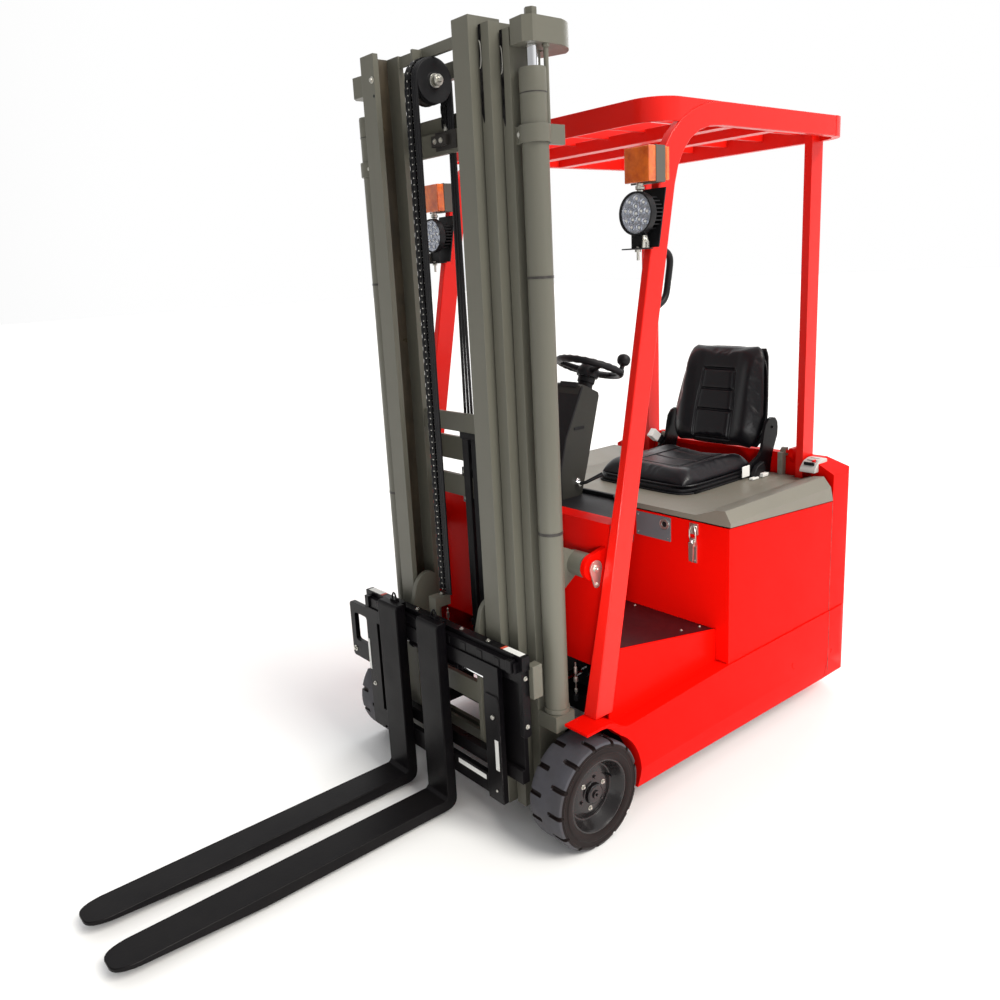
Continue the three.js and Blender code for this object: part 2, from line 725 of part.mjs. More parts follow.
// ---------------------------------------------------------------- mast

// One rail, open towards the truck's middle.
function rail({ inside, outside, front, bottom, top }) {
  const rear = front + railDeep;
  return prismZ([
    [inside, front], [outside, front], [outside, rear], [inside, rear], [inside, rear - flange],
    [outside - web, rear - flange], [outside - web, front + flange], [inside, front + flange],
  ], bottom, top);
}

const rollerRadius = (railDeep - 2 * flange) / 2 - gap;

function roller(from, to, front, z) {
  const y = front + railDeep / 2;
  return bar([from, y, z], [to, y, z], rollerRadius, 20);
}

function outerMast() {
  const rear = outerRail.front + railDeep;
  const lugIn = 353;
  const boss = join(
    prismX([
      [rear - 30, pivotZ - 70], [rear + 10, pivotZ - 70], [pivotY, pivotZ - 38],
      [pivotY, pivotZ + 38], [rear + 10, pivotZ + 60], [rear - 30, pivotZ + 60],
    ], outerRail.outside - 2, outerRail.outside + 14),
    bar([outerRail.outside - 2, pivotY, pivotZ], [414, pivotY, pivotZ], 38, 28),
  );
  const bored = cut(boss, bar([lugIn - 3, pivotY, pivotZ], [420, pivotY, pivotZ], pivotPin + 0.5));
  const foot = box(outerRail.outside - 2, liftX + liftRadius, liftY - 40, liftY + 38, liftFoot - footDeep, liftFoot - gap);
  const clamp = cut(
    join(
      bar([liftX, liftY, 2055], [liftX, liftY, 2100], liftRadius + 7, 24),
      box(outerRail.outside - 2, liftX, liftY - 30, liftY + 20, 2055, 2100),
      box(liftX + 8, liftX + 24, liftY + 20, liftY + 88, 2052, 2102),
    ),
    bar([liftX, liftY, 2050], [liftX, liftY, 2110], liftRadius + gap + 0.4, 24),
  );
  const side = join(rail(outerRail), bored, foot, clamp);
  const wide = outerRail.outside - web;
  let mast = join(
    side,
    mirrored(side),
    box(-wide, wide, rear - 2, rear + 12, 2120, 2200),
    box(-wide, wide, rear - 2, rear + 12, 1120, 1200),
    box(-wide, wide, rear - 2, rear + 12, 340, 470),
    box(-wide, wide, rear - 2, rear + 12, 80, 150),
  );
  for (const s of [-1, 1]) {
    for (const offset of [-26, 18]) {
      const x = s * tiltX + offset;
      mast = join(
        mast,
        box(x, x + 8, rear + 10, tiltPin.y, tiltPin.z - 24, tiltPin.z + 24),
        bar([x, tiltPin.y, tiltPin.z], [x + 8, tiltPin.y, tiltPin.z], 24),
      );
    }
    const x = s * tiltX;
    mast = join(mast, bar([x - 22, tiltPin.y, tiltPin.z], [x + 22, tiltPin.y, tiltPin.z], 10));
  }
  add('outer_mast', mast, mastGrey);
}

function midMast() {
  const rear = midRail.front + railDeep;
  const plan = new THREE.Shape();
  plan.moveTo(midRail.inside, rear - 1);
  plan.lineTo(midRail.outside, rear - 1);
  plan.lineTo(midRail.outside, outerRear + 7);
  plan.lineTo(outerRail.outside + 6, outerRear + 7);
  plan.lineTo(outerRail.outside + 6, liftY - 42);
  plan.lineTo(liftX + 14, liftY - 46);
  plan.lineTo(liftX + 34, liftY - 26);
  plan.lineTo(liftX + 34, 56);
  plan.quadraticCurveTo(liftX + 20, 112, liftX - 30, 134);
  plan.lineTo(midRail.inside, 100);
  const bracket = prismZ(plan, bracketLow, bracketHigh);
  const side = join(
    rail(midRail),
    bracket,
    roller(midRail.outside - 2, outerRail.outside - web - clearance, outerRail.front, 190),
    bar([liftX, liftY, bracketHigh - 1], [liftX, liftY, bracketHigh + 24], 17, 6),
  );
  const wide = midRail.outside - 2;
  const cross = (low, high) => box(-wide, wide, rear - 2, rear + 14, low, high);
  add('mid_mast', join(
    side,
    mirrored(side),
    cross(2085, 2150),
    cross(1010, 1080),
    cross(100, 180),
    box(-midRail.inside - 1, midRail.inside + 1, 60, 84, bracketLow + 8, bracketHigh - 8),
  ), mastGrey);
}

function innerMast() {
  const rear = innerRail.front + railDeep;
  const side = join(
    rail(innerRail),
    roller(innerRail.outside - 2, midRail.outside - web - clearance, midRail.front, 195),
  );
  const wide = innerRail.outside - 2;
  const tie = box(-wide, wide, rear - 12, rear, innerRail.top - 33, innerRail.top - 2);
  const hanger = box(-88, -78, pulley.y - 25, rear - 1, pulley.z - 30, innerRail.top - 6);
  add('inner_mast', join(
    side,
    mirrored(side),
    tie,
    hanger,
    box(-wide, wide, rear - 12, rear + 2, 100, 190),
    box(-wide, wide, rear - 12, rear + 2, 1240, 1300),
    bar([-80, pulley.y, pulley.z], [4, pulley.y, pulley.z], 14),
  ), mastGrey);
}

function liftCylinders() {
  const gland = 60;
  const barrel = cut(
    bar([liftX, liftY, liftFoot], [liftX, liftY, liftTop], liftRadius, 24),
    bar([liftX, liftY, liftFoot + gland], [liftX, liftY, liftTop - gland], liftBore, 16),
    bar([liftX, liftY, liftTop - gland - 1], [liftX, liftY, liftTop + 1], liftRod + 0.5, 16),
  );
  addPair('lift_cylinder', barrel, mastGrey);
  const rod = bar([liftX, liftY, 640], [liftX, liftY, bracketLow - gap], liftRod, 16);
  addPair('lift_rod', rod, steel);
}

// Chain and hose sheaves on the inner mast's top shaft, and the falls that hang from them.
function reeving() {
  const sheave = (x0, x1, r) => cut(
    join(
      bar([x0, pulley.y, pulley.z], [x1, pulley.y, pulley.z], r, 28),
      bar([x0, pulley.y, pulley.z], [x0 + 3, pulley.y, pulley.z], r + 5, 28),
      bar([x1 - 3, pulley.y, pulley.z], [x1, pulley.y, pulley.z], r + 5, 28),
    ),
    bar([x0 - 1, pulley.y, pulley.z], [x1 + 1, pulley.y, pulley.z], 14 + gap),
  );
  add('chain_sheave', sheave(-68, -38, pulley.radius), iron);
  add('hose_sheave', sheave(-34, -10, pulley.radius + 4), plastic);
  const y = pulley.y - pulley.radius;
  add('lift_chain', box(-62, -44, y - 12, y - 1, 700, pulley.z - 2), iron);
}

// ---------------------------------------------------------------- carriage and forks

function carriage() {
  const front = -150;
  const plateTop = 745;
  const shape = new THREE.Shape();
  shape.moveTo(-45, 210);
  shape.lineTo(front, 210);
  shape.lineTo(front, 640);
  shape.lineTo(-130, plateTop - 34);
  shape.quadraticCurveTo(-110, plateTop, -80, plateTop);
  shape.quadraticCurveTo(-45, plateTop, -45, plateTop - 50);
  const channelFront = innerRail.front + railDeep / 2;
  const plate = join(
    prismX(shape, 164, 182),
    ...[260, 640].map((z) => bar(
      [181, channelFront, z],
      [innerRail.outside - web - clearance, channelFront, z],
      rollerRadius,
      20,
    )),
  );
  add('carriage_rollers', join(
    plate,
    mirrored(plate),
    box(-170, 170, front + 1, front + 16, 400, 470),
    box(-72, -34, front + 1, front + 16, 460, 700 - gap),
    box(-72, -34, front + 1, -88, 665, 700 - gap),
  ), mastGrey);

  const rear = front - gap;
  const end = prismX(roundedRect(-180, -150 - gap, 385, 612, 8), 398, 413);
  add('carriage_frame', join(
    box(-418, 418, -180, rear, 600, 645),
    box(-395, 395, -178, rear, 225, 270),
    box(-395, -300, -165, rear, 225, 640),
    box(300, 395, -165, rear, 225, 640),
    end,
    mirrored(end),
    box(-413, 413, -180, rear, 560, 601),
    box(-400, 400, -197, -179, guideLow, 628),
    bar([-130, -166, 520], [130, -166, 520], 15),
    box(-120, -100, -178, rear, 515, 601),
    box(100, 120, -178, rear, 515, 601),
  ), black);
}

const shift = { left: 331, right: -398, front: shiftFront, deep: shiftDeep };

function sideShifter() {
  const { left, right, front, deep } = shift;
  const rear = front + deep;
  const frame = join(
    box(right, left, front, rear, 545, guideLow - gap),
    box(right, left, front, rear, 150, 215),
    box(left - 70, left, front, rear, 138, 546),
    box(right, right + 70, front, rear, 138, 546),
    prismY(roundedRect(-506, right + 20, 374, 585, 14), front, rear),
  );
  const window = prismY(roundedRect(-478, right + 2, 440, 548, 12), front - 1, rear + 1);
  add('side_shift_frame', cut(frame, window), black);
}

function fork(x) {
  const heel = 40;
  const tip = shankFront - forkLength;
  const low = forkTop - forkThick;
  const back = shankFront + forkThick;
  const side = new THREE.Shape();
  side.moveTo(tip, forkTop - forkTipThick);
  side.lineTo(tip + 420, low);
  side.lineTo(back - heel, low);
  side.quadraticCurveTo(back, low, back, low + heel);
  side.lineTo(back, shankTop);
  side.lineTo(shankFront + 6, shankTop);
  side.lineTo(shankFront, shankTop - 14);
  side.lineTo(shankFront, forkTop + 10);
  side.lineTo(shankFront - 10, forkTop);
  side.lineTo(tip, forkTop);
  const h = forkWidth / 2;
  const plan = new THREE.Shape();
  plan.moveTo(x - 18, tip);
  plan.quadraticCurveTo(x - h + 4, tip + 4, x - h, tip + 70);
  plan.lineTo(x - h, 0);
  plan.lineTo(x + h, 0);
  plan.lineTo(x + h, tip + 70);
  plan.quadraticCurveTo(x + h - 4, tip + 4, x + 18, tip);
  return prismX(side, x - h, x + h).intersect(prismZ(plan, 0, 800));
}

function forks() {
  add('fork_left', fork(forkCentres[0]), black);
  add('fork_right', fork(forkCentres[1]), black);
}

// ---------------------------------------------------------------- tilt cylinders

function tiltCylinders() {
  const from = new THREE.Vector3(tiltX, tiltAnchor.y, tiltAnchor.z);
  const to = new THREE.Vector3(tiltX, tiltPin.y, tiltPin.z);
  const dir = to.clone().sub(from).normalize();
  const at = (d) => from.clone().addScaledVector(dir, d).toArray();
  const reach = to.distanceTo(from);
  const barrel = cut(
    join(
      bar([tiltX - 15, from.y, from.z], [tiltX + 15, from.y, from.z], 22),
      bar(at(10), at(42), 16),
      bar(at(40), at(290), 30, 28),
    ),
    bar([tiltX - 20, from.y, from.z], [tiltX + 20, from.y, from.z], 10.5),
    bar(at(60), at(270), 19, 20),
    bar(at(269), at(300), 14.5),
  );
  addPair('tilt_cylinder', barrel, black);
  const rod = cut(
    join(
      bar(at(150), at(reach - 20), 14),
      bar([tiltX - 13, to.y, to.z], [tiltX + 13, to.y, to.z], 24),
    ),
    bar([tiltX - 20, to.y, to.z], [tiltX + 20, to.y, to.z], 13),
  );
  addPair('tilt_rod', rod, steel);
}

// ---------------------------------------------------------------- assembly

frontWheels();
frontAxle();
rearWheel();
driveUnit();
chassis();
body();
counterweight();
hood();
seat();
controls();
guard();
lamps();
outerMast();
midMast();
innerMast();
liftCylinders();
reeving();
carriage();
sideShifter();
forks();
tiltCylinders();

const forkTip = shankFront - forkLength;
truck.position.y = -(forkTip + rearEnd) / 2;

export default truck;
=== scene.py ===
import bpy, bmesh, json, math
from mathutils import Vector, Matrix


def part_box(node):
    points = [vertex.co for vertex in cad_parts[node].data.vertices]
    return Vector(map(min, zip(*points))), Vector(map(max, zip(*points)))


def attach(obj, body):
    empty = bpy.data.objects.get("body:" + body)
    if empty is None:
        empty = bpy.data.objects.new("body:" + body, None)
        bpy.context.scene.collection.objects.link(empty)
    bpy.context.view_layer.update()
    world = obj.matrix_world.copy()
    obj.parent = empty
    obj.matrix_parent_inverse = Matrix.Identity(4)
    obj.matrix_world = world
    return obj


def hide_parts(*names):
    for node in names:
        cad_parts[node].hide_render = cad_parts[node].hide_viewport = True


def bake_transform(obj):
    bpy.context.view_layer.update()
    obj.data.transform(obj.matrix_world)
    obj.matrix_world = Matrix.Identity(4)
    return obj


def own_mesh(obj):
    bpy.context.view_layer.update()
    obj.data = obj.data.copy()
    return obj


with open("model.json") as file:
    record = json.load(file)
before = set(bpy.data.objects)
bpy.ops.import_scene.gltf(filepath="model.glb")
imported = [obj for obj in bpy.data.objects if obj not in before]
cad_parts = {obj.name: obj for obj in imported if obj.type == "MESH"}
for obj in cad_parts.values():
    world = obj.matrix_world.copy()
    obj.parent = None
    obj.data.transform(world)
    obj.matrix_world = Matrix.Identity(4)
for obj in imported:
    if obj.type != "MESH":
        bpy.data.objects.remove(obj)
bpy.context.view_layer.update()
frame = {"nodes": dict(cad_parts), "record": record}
BODY = {n: b for b, ns in frame["record"]["behaviour"]["bodies"].items() for n in ns}
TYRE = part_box("front_tyre_left")
SHIFT = (TYRE[0][1] + TYRE[1][1]) / 2     # row y of the front wheels' axis


# ---------------------------------------------------------------- camera, light and world

def new_object(name, data):
    o = bpy.data.objects.new(name, data)
    bpy.context.scene.collection.objects.link(o)
    return o


def node(tree, kind, **values):
    """A shader node; each value goes to the socket of its name, or else to the property."""
    n = tree.nodes.new(kind)
    for key, value in values.items():
        if key in n.inputs:
            n.inputs[key].default_value = value
        else:
            setattr(n, key, value)
    return n


AZIMUTH, ELEVATION, ROLL = (math.radians(a) for a in (51.07, 13.40, -3.24))
CAMERA_AT = (2.177, -1.7945, 1.739)
SENSOR = 36
back = Vector((
    math.sin(AZIMUTH) * math.cos(ELEVATION), -math.cos(AZIMUTH) * math.cos(ELEVATION), math.sin(ELEVATION),
))
level = Vector((math.cos(AZIMUTH), math.sin(AZIMUTH), 0))
up = back.cross(level)
across = level * math.cos(ROLL) + up * math.sin(ROLL)
upward = up * math.cos(ROLL) - level * math.sin(ROLL)
cam = new_object("camera", bpy.data.cameras.new("camera"))
cam.matrix_world = Matrix([(across[i], upward[i], back[i], CAMERA_AT[i]) for i in range(3)] + [(0, 0, 0, 1)])
cam.data.lens = SENSOR * 0.8746
cam.data.shift_x = 0.0167
cam.data.shift_y = -0.0218
cam.data.clip_start = 0.05
bpy.context.scene.camera = cam
bpy.context.scene.view_settings.view_transform = "Standard"


def area(name, at, target, size, power):
    """A rectangular light at `at`, aimed at `target`."""
    light = bpy.data.lights.new(name, "AREA")
    light.shape = "RECTANGLE"
    light.size, light.size_y = size
    light.energy = power
    o = new_object(name, light)
    o.location = at
    o.rotation_euler = (Vector(target) - Vector(at)).to_track_quat("-Z", "Y").to_euler()


area("rear_light", (-1.5, 4.5, 4.2), (0, 0, 1.0), (3.0, 2.5), 60)
area("low_light", (3.4, -3.8, 0.7), (0, 0, 0.7), (2.6, 0.9), 11)
area("step_light", (1.5, -0.95, 1.05), (0.25, 0.65, 0.62), (0.4, 0.3), 1.6)
# A narrow beam, for the foot space alone.
bpy.data.lights["step_light"].spread = math.radians(40)
key = new_object("key_light", bpy.data.lights.new("key_light", "SUN"))
key.data.energy = 2.7
key.data.color = (1.0, 0.965, 0.90)
key.data.angle = math.radians(28)
key.rotation_euler = Vector((0.70, 0.14, 0.70)).to_track_quat("Z", "Y").to_euler()

# A white room, about half as bright on the side that the truck faces.
world = bpy.data.worlds.new("studio")
world.use_nodes = True
sky = world.node_tree
facing = node(sky, "ShaderNodeTexCoord")
parts = node(sky, "ShaderNodeSeparateXYZ")
shade = node(sky, "ShaderNodeMapRange", interpolation_type="SMOOTHSTEP", **{
    "From Min": -0.75, "From Max": 0.35, "To Min": 0.46, "To Max": 1.0,
})
sky.links.new(facing.outputs["Generated"], parts.inputs[0])
sky.links.new(parts.outputs["Y"], shade.inputs["Value"])
sky.links.new(shade.outputs["Result"], sky.nodes["Background"].inputs["Strength"])
sky.nodes["Background"].inputs["Color"].default_value = (1, 1, 1, 1)
bpy.context.scene.world = world


# ---------------------------------------------------------------- materials

def nodes_of(name):
    mat = bpy.data.materials.new(name)
    mat.use_nodes = True
    return mat, mat.node_tree, mat.node_tree.nodes["Principled BSDF"]


def noise(tree, coords, scale, detail=4.0, rough=0.55, stretch=None):
    n = node(tree, "ShaderNodeTexNoise", Scale=scale, Detail=detail, Roughness=rough)
    if stretch:
        m = node(tree, "ShaderNodeMapping", Scale=stretch)
        tree.links.new(coords, m.inputs["Vector"])
        coords = m.outputs["Vector"]
    tree.links.new(coords, n.inputs["Vector"])
    return n.outputs["Fac"]


def ramp(tree, fac, low, high, a=0.0, b=1.0):
    n = node(tree, "ShaderNodeMapRange", **{"From Min": low, "From Max": high, "To Min": a, "To Max": b})
    tree.links.new(fac, n.inputs["Value"])
    return n.outputs["Result"]


def times(tree, a, b):
    n = node(tree, "ShaderNodeMath", operation="MULTIPLY")
    for i, v in enumerate((a, b)):
        if isinstance(v, (int, float)):
            n.inputs[i].default_value = v
        else:
            tree.links.new(v, n.inputs[i])
    return n.outputs[0]


def mix(tree, fac, a, b):
    n = node(tree, "ShaderNodeMix", data_type="RGBA")
    if isinstance(fac, (int, float)):
        n.inputs[0].default_value = fac
    else:
        tree.links.new(fac, n.inputs[0])
    for socket, v in ((n.inputs[6], a), (n.inputs[7], b)):
        if isinstance(v, tuple):
            socket.default_value = (*v[:3], 1)
        else:
            tree.links.new(v, socket)
    return n.outputs[2]


def bump_of(tree, shader, height, strength, distance):
    b = node(tree, "ShaderNodeBump", Strength=strength, Distance=distance)
    tree.links.new(height, b.inputs["Height"])
    tree.links.new(b.outputs["Normal"], shader.inputs["Normal"])


def surface(
    name, colour, second, rough=0.4, rough_var=0.08, metal=0.0, coat=0.0, coat_rough=0.06, spots=3.0,
    spot_depth=0.5, bump=0.05, bump_scale=700.0, wear_and_highlight=None, wear_and_highlight_amount=0.4, dust_and_shade=None, dust_and_shade_height=0.5,
    dust_and_shade_amount=0.3, grain=None, specular=0.5, streak=None, streak_amount=0.0,
):
    """A painted, moulded or metal surface: uneven colour, a paler colour on sharp edges (wear, and on the red
    paint a painted highlight), a colour low down (dust, and on the red body painted shade) and a fine bump.
    """
    mat, tree, shader = nodes_of(name)
    coords = node(tree, "ShaderNodeTexCoord").outputs["Object"]
    geometry = node(tree, "ShaderNodeNewGeometry")
    blotch = ramp(tree, noise(tree, coords, spots), 0.3, 0.7, 0.0, spot_depth)
    tone = mix(tree, blotch, colour, second)
    if streak:
        lines = ramp(
            tree, noise(tree, coords, 18.0, 5.0, 0.6, (1.0, 1.0, 0.06)), 0.5, 0.72, 0.0, streak_amount,
        )
        tone = mix(tree, lines, tone, streak)
    # Colour towards the bottom: dust on most finishes, painted shade on the red body.
    if dust_and_shade:
        split = node(tree, "ShaderNodeSeparateXYZ")
        tree.links.new(coords, split.inputs[0])
        low = ramp(tree, split.outputs["Z"], dust_and_shade_height, 0.0, 0.0, 1.0)
        patch = ramp(tree, noise(tree, coords, 9.0, 6.0, 0.65), 0.38, 0.75, 0.1, dust_and_shade_amount)
        tone = mix(tree, times(tree, low, patch), tone, dust_and_shade)
    # Paler colour on sharp edges: wear on most finishes, a painted highlight on the red paint.
    if wear_and_highlight:
        edge = ramp(tree, geometry.outputs["Pointiness"], 0.60, 0.72, 0.0, 1.0)
        wear_and_highlight_patches = ramp(tree, noise(tree, coords, 42.0, 6.0, 0.7), 0.45, 0.62, 0.0, wear_and_highlight_amount)
        tone = mix(tree, times(tree, edge, wear_and_highlight_patches), tone, wear_and_highlight)
    tree.links.new(tone, shader.inputs["Base Color"])
    smudge = ramp(tree, noise(tree, coords, 7.0, 5.0), 0.25, 0.75, rough - rough_var, rough + rough_var)
    tree.links.new(smudge, shader.inputs["Roughness"])
    shader.inputs["Metallic"].default_value = metal
    shader.inputs["Specular IOR Level"].default_value = specular
    if coat:
        shader.inputs["Coat Weight"].default_value = coat
        shader.inputs["Coat Roughness"].default_value = coat_rough
    height = noise(tree, coords, bump_scale, 2.0)
    if grain == "leather":
        cells = node(tree, "ShaderNodeTexVoronoi", feature="F1", Scale=bump_scale)
        tree.links.new(coords, cells.inputs["Vector"])
        height = cells.outputs["Distance"]
    bump_of(tree, shader, height, bump, 0.0006)
    return mat


# Below 0.22 m the body red turns darker: painted shade along the body's lower edge. The paler pink on its
# sharp edges is a painted highlight.
RED = surface(
    "body_red", (0.70, 0.0036, 0.0014), (0.64, 0.0030, 0.0012), rough=0.34, coat=0.01, coat_rough=0.14,
    bump=0.08, specular=0.03, bump_scale=420, wear_and_highlight=(0.85, 0.09, 0.07), wear_and_highlight_amount=0.5,
    dust_and_shade=(0.30, 0.006, 0.004), dust_and_shade_amount=0.75, dust_and_shade_height=0.22,
)
# The paler pink on the guard's sharp edges is a painted highlight.
GUARD_RED = surface(
    "guard_red", (0.74, 0.010, 0.005), (0.68, 0.007, 0.0035), rough=0.36, coat=0.12, coat_rough=0.16,
    bump=0.08, specular=0.2, bump_scale=420, wear_and_highlight=(0.88, 0.14, 0.11), wear_and_highlight_amount=0.5, spots=2.2,
)
GREY = surface(
    "mast_grey", (0.124, 0.120, 0.095), (0.113, 0.112, 0.090), rough=0.44, coat=0.05, coat_rough=0.3,
    specular=0.3, bump=0.16, bump_scale=420, wear_and_highlight=(0.26, 0.255, 0.22), wear_and_highlight_amount=0.35,
    dust_and_shade=(0.085, 0.070, 0.058), dust_and_shade_amount=0.35, streak=(0.078, 0.074, 0.062), streak_amount=0.14,
)
GREASY = surface(
    "greased_channel", (0.085, 0.066, 0.042), (0.045, 0.035, 0.024), rough=0.36, rough_var=0.14, bump=0.35,
    bump_scale=180, spots=14, spot_depth=0.9, streak=(0.022, 0.018, 0.014), streak_amount=0.8,
)
COVER = surface(
    "cover_grey", (0.175, 0.162, 0.130), (0.150, 0.140, 0.115), rough=0.42, specular=0.4, bump=0.2,
    bump_scale=520, wear_and_highlight=(0.33, 0.32, 0.29), wear_and_highlight_amount=0.4,
)
BLACK = surface(
    "black_paint", (0.0030, 0.0026, 0.0036), (0.0055, 0.0048, 0.0052), rough=0.33, rough_var=0.1, coat=0.05,
    coat_rough=0.25, specular=0.11, bump=0.25, bump_scale=240, wear_and_highlight=(0.09, 0.085, 0.085), wear_and_highlight_amount=0.5,
    dust_and_shade=(0.03, 0.027, 0.025), dust_and_shade_amount=0.25, spots=11,
)
FORK = surface(
    "fork_black", (0.0028, 0.0024, 0.0034), (0.0062, 0.0054, 0.0054), rough=0.36, rough_var=0.1,
    specular=0.09, bump=0.35, bump_scale=130, wear_and_highlight=(0.10, 0.095, 0.095), wear_and_highlight_amount=0.6,
    dust_and_shade=(0.025, 0.023, 0.022), dust_and_shade_amount=0.2, spots=16,
)
PLASTIC = surface(
    "black_plastic", (0.0058, 0.0058, 0.0072), (0.0095, 0.0095, 0.0105), rough=0.46, specular=0.22,
    bump=0.35, bump_scale=900, spots=20,
)
COLUMN = surface(
    "column_plastic", (0.026, 0.025, 0.021), (0.018, 0.018, 0.017), rough=0.4, specular=0.22, bump=0.3,
    bump_scale=800, spots=12,
)
VINYL = surface(
    "seat_vinyl", (0.0045, 0.0042, 0.0058), (0.0070, 0.0066, 0.0085), rough=0.33, rough_var=0.05, bump=0.25,
    bump_scale=640, grain="leather", spots=9, specular=0.3,
)
RUBBER = surface(
    "tyre_rubber", (0.062, 0.062, 0.075), (0.044, 0.042, 0.047), rough=0.66, specular=0.3, bump=0.5,
    bump_scale=330, spots=14, dust_and_shade=(0.115, 0.105, 0.10), dust_and_shade_height=0.36, dust_and_shade_amount=0.5, spot_depth=0.7,
)
SIDEWALL = surface(
    "tyre_sidewall", (0.013, 0.0085, 0.0080), (0.009, 0.0060, 0.0060), rough=0.45, specular=0.13, bump=0.4,
    bump_scale=330, spots=16,
)
RIM = surface(
    "rim_black", (0.0065, 0.0050, 0.0055), (0.013, 0.010, 0.010), rough=0.26, specular=0.4, coat=0.2,
    bump=0.25, bump_scale=260, wear_and_highlight=(0.14, 0.12, 0.11), wear_and_highlight_amount=0.6, spots=14,
)
CHROME = surface(
    "chromed_rod", (0.82, 0.83, 0.85), (0.72, 0.73, 0.75), rough=0.13, rough_var=0.05, metal=1.0, bump=0.03,
    bump_scale=900,
)
ZINC = surface(
    "zinc_plate", (0.62, 0.61, 0.56), (0.44, 0.42, 0.37), rough=0.32, rough_var=0.1, metal=0.9, bump=0.15,
    bump_scale=600, spots=45,
)
IRON = surface(
    "dark_iron", (0.030, 0.027, 0.025), (0.052, 0.046, 0.040), rough=0.42, rough_var=0.12, metal=0.35,
    bump=0.3, bump_scale=380, spots=28, wear_and_highlight=(0.22, 0.20, 0.18), wear_and_highlight_amount=0.7,
)
CHAIN = surface(
    "greased_chain", (0.0060, 0.0060, 0.0068), (0.0030, 0.0030, 0.0034), rough=0.38, rough_var=0.14,
    bump=0.3, specular=0.22, bump_scale=420, spots=60, wear_and_highlight=(0.16, 0.16, 0.17), wear_and_highlight_amount=0.5,
)
HOSE = surface(
    "hose_rubber", (0.0055, 0.0055, 0.0068), (0.010, 0.010, 0.011), rough=0.42, specular=0.25, bump=0.3,
    bump_scale=620,
)
CASE = surface(
    "battery_case", (0.030, 0.030, 0.034), (0.045, 0.045, 0.050), rough=0.5, bump=0.3, bump_scale=300,
    spots=8,
)
MAT = surface(
    "floor_mat", (0.028, 0.0022, 0.0040), (0.045, 0.006, 0.008), rough=0.5, bump=0.9, bump_scale=260,
    spots=60, spot_depth=1.0, specular=0.15,
)
LABEL = surface("blank_label", (0.80, 0.80, 0.77), (0.70, 0.70, 0.67), rough=0.45, bump=0.05, bump_scale=300)
LABEL_RED = surface(
    "label_end", (0.62, 0.07, 0.03), (0.50, 0.05, 0.03), rough=0.45, bump=0.05, bump_scale=300,
)
TRIM = surface(
    "pale_trim", (0.50, 0.50, 0.47), (0.40, 0.40, 0.38), rough=0.4, bump=0.2, bump_scale=500, spots=12,
)
HOUSING = surface(
    "lamp_housing", (0.085, 0.080, 0.066), (0.070, 0.066, 0.056), rough=0.5, bump=0.25, bump_scale=700,
)
BLUE_GREY = surface("plated_grey", (0.16, 0.175, 0.185), (0.12, 0.13, 0.14), rough=0.35, metal=0.3, bump=0.2)


def lens_material(name, colour, glow):
    mat, tree, shader = nodes_of(name)
    coords = node(tree, "ShaderNodeTexCoord").outputs["Object"]
    tone = mix(tree, ramp(tree, noise(tree, coords, 26.0), 0.3, 0.7), colour, glow)
    tree.links.new(tone, shader.inputs["Base Color"])
    wave = node(tree, "ShaderNodeTexWave", bands_direction="Z", Scale=90.0)
    tree.links.new(coords, wave.inputs["Vector"])
    bump_of(tree, shader, wave.outputs["Fac"], 0.35, 0.001)
    tree.links.new(ramp(tree, noise(tree, coords, 12.0), 0.3, 0.7, 0.16, 0.26), shader.inputs["Roughness"])
    shader.inputs["Coat Weight"].default_value = 0.8
    shader.inputs["Subsurface Weight"].default_value = 0.25
    shader.inputs["Subsurface Scale"].default_value = 0.02
    shader.inputs["Subsurface Radius"].default_value = (1.0, 0.3, 0.05)
    return mat


AMBER = lens_material("amber_lens", (0.46, 0.060, 0.003), (0.80, 0.17, 0.010))
CLEAR = surface(
    "clear_lens", (0.62, 0.65, 0.72), (0.42, 0.45, 0.54), rough=0.12, metal=0.55, bump=0.5, bump_scale=210,
    coat=0.8, spots=90, spot_depth=1.0,
)
FLOOR = surface(
    "studio_floor", (0.95, 0.95, 0.95), (0.94, 0.94, 0.94), rough=0.7, bump=0.0, spots=0.6, spot_depth=1.0,
)


# ---------------------------------------------------------------- building meshes

def P(x, y, z):
    """A point given in millimetres from the floor below the front wheels' axis."""
    return Vector((x / 1000, y / 1000 + SHIFT, z / 1000))


AXES = {"x": 0, "y": 1, "z": 2}
FRONT, UP = (0, -1, 0), (0, 0, 1)


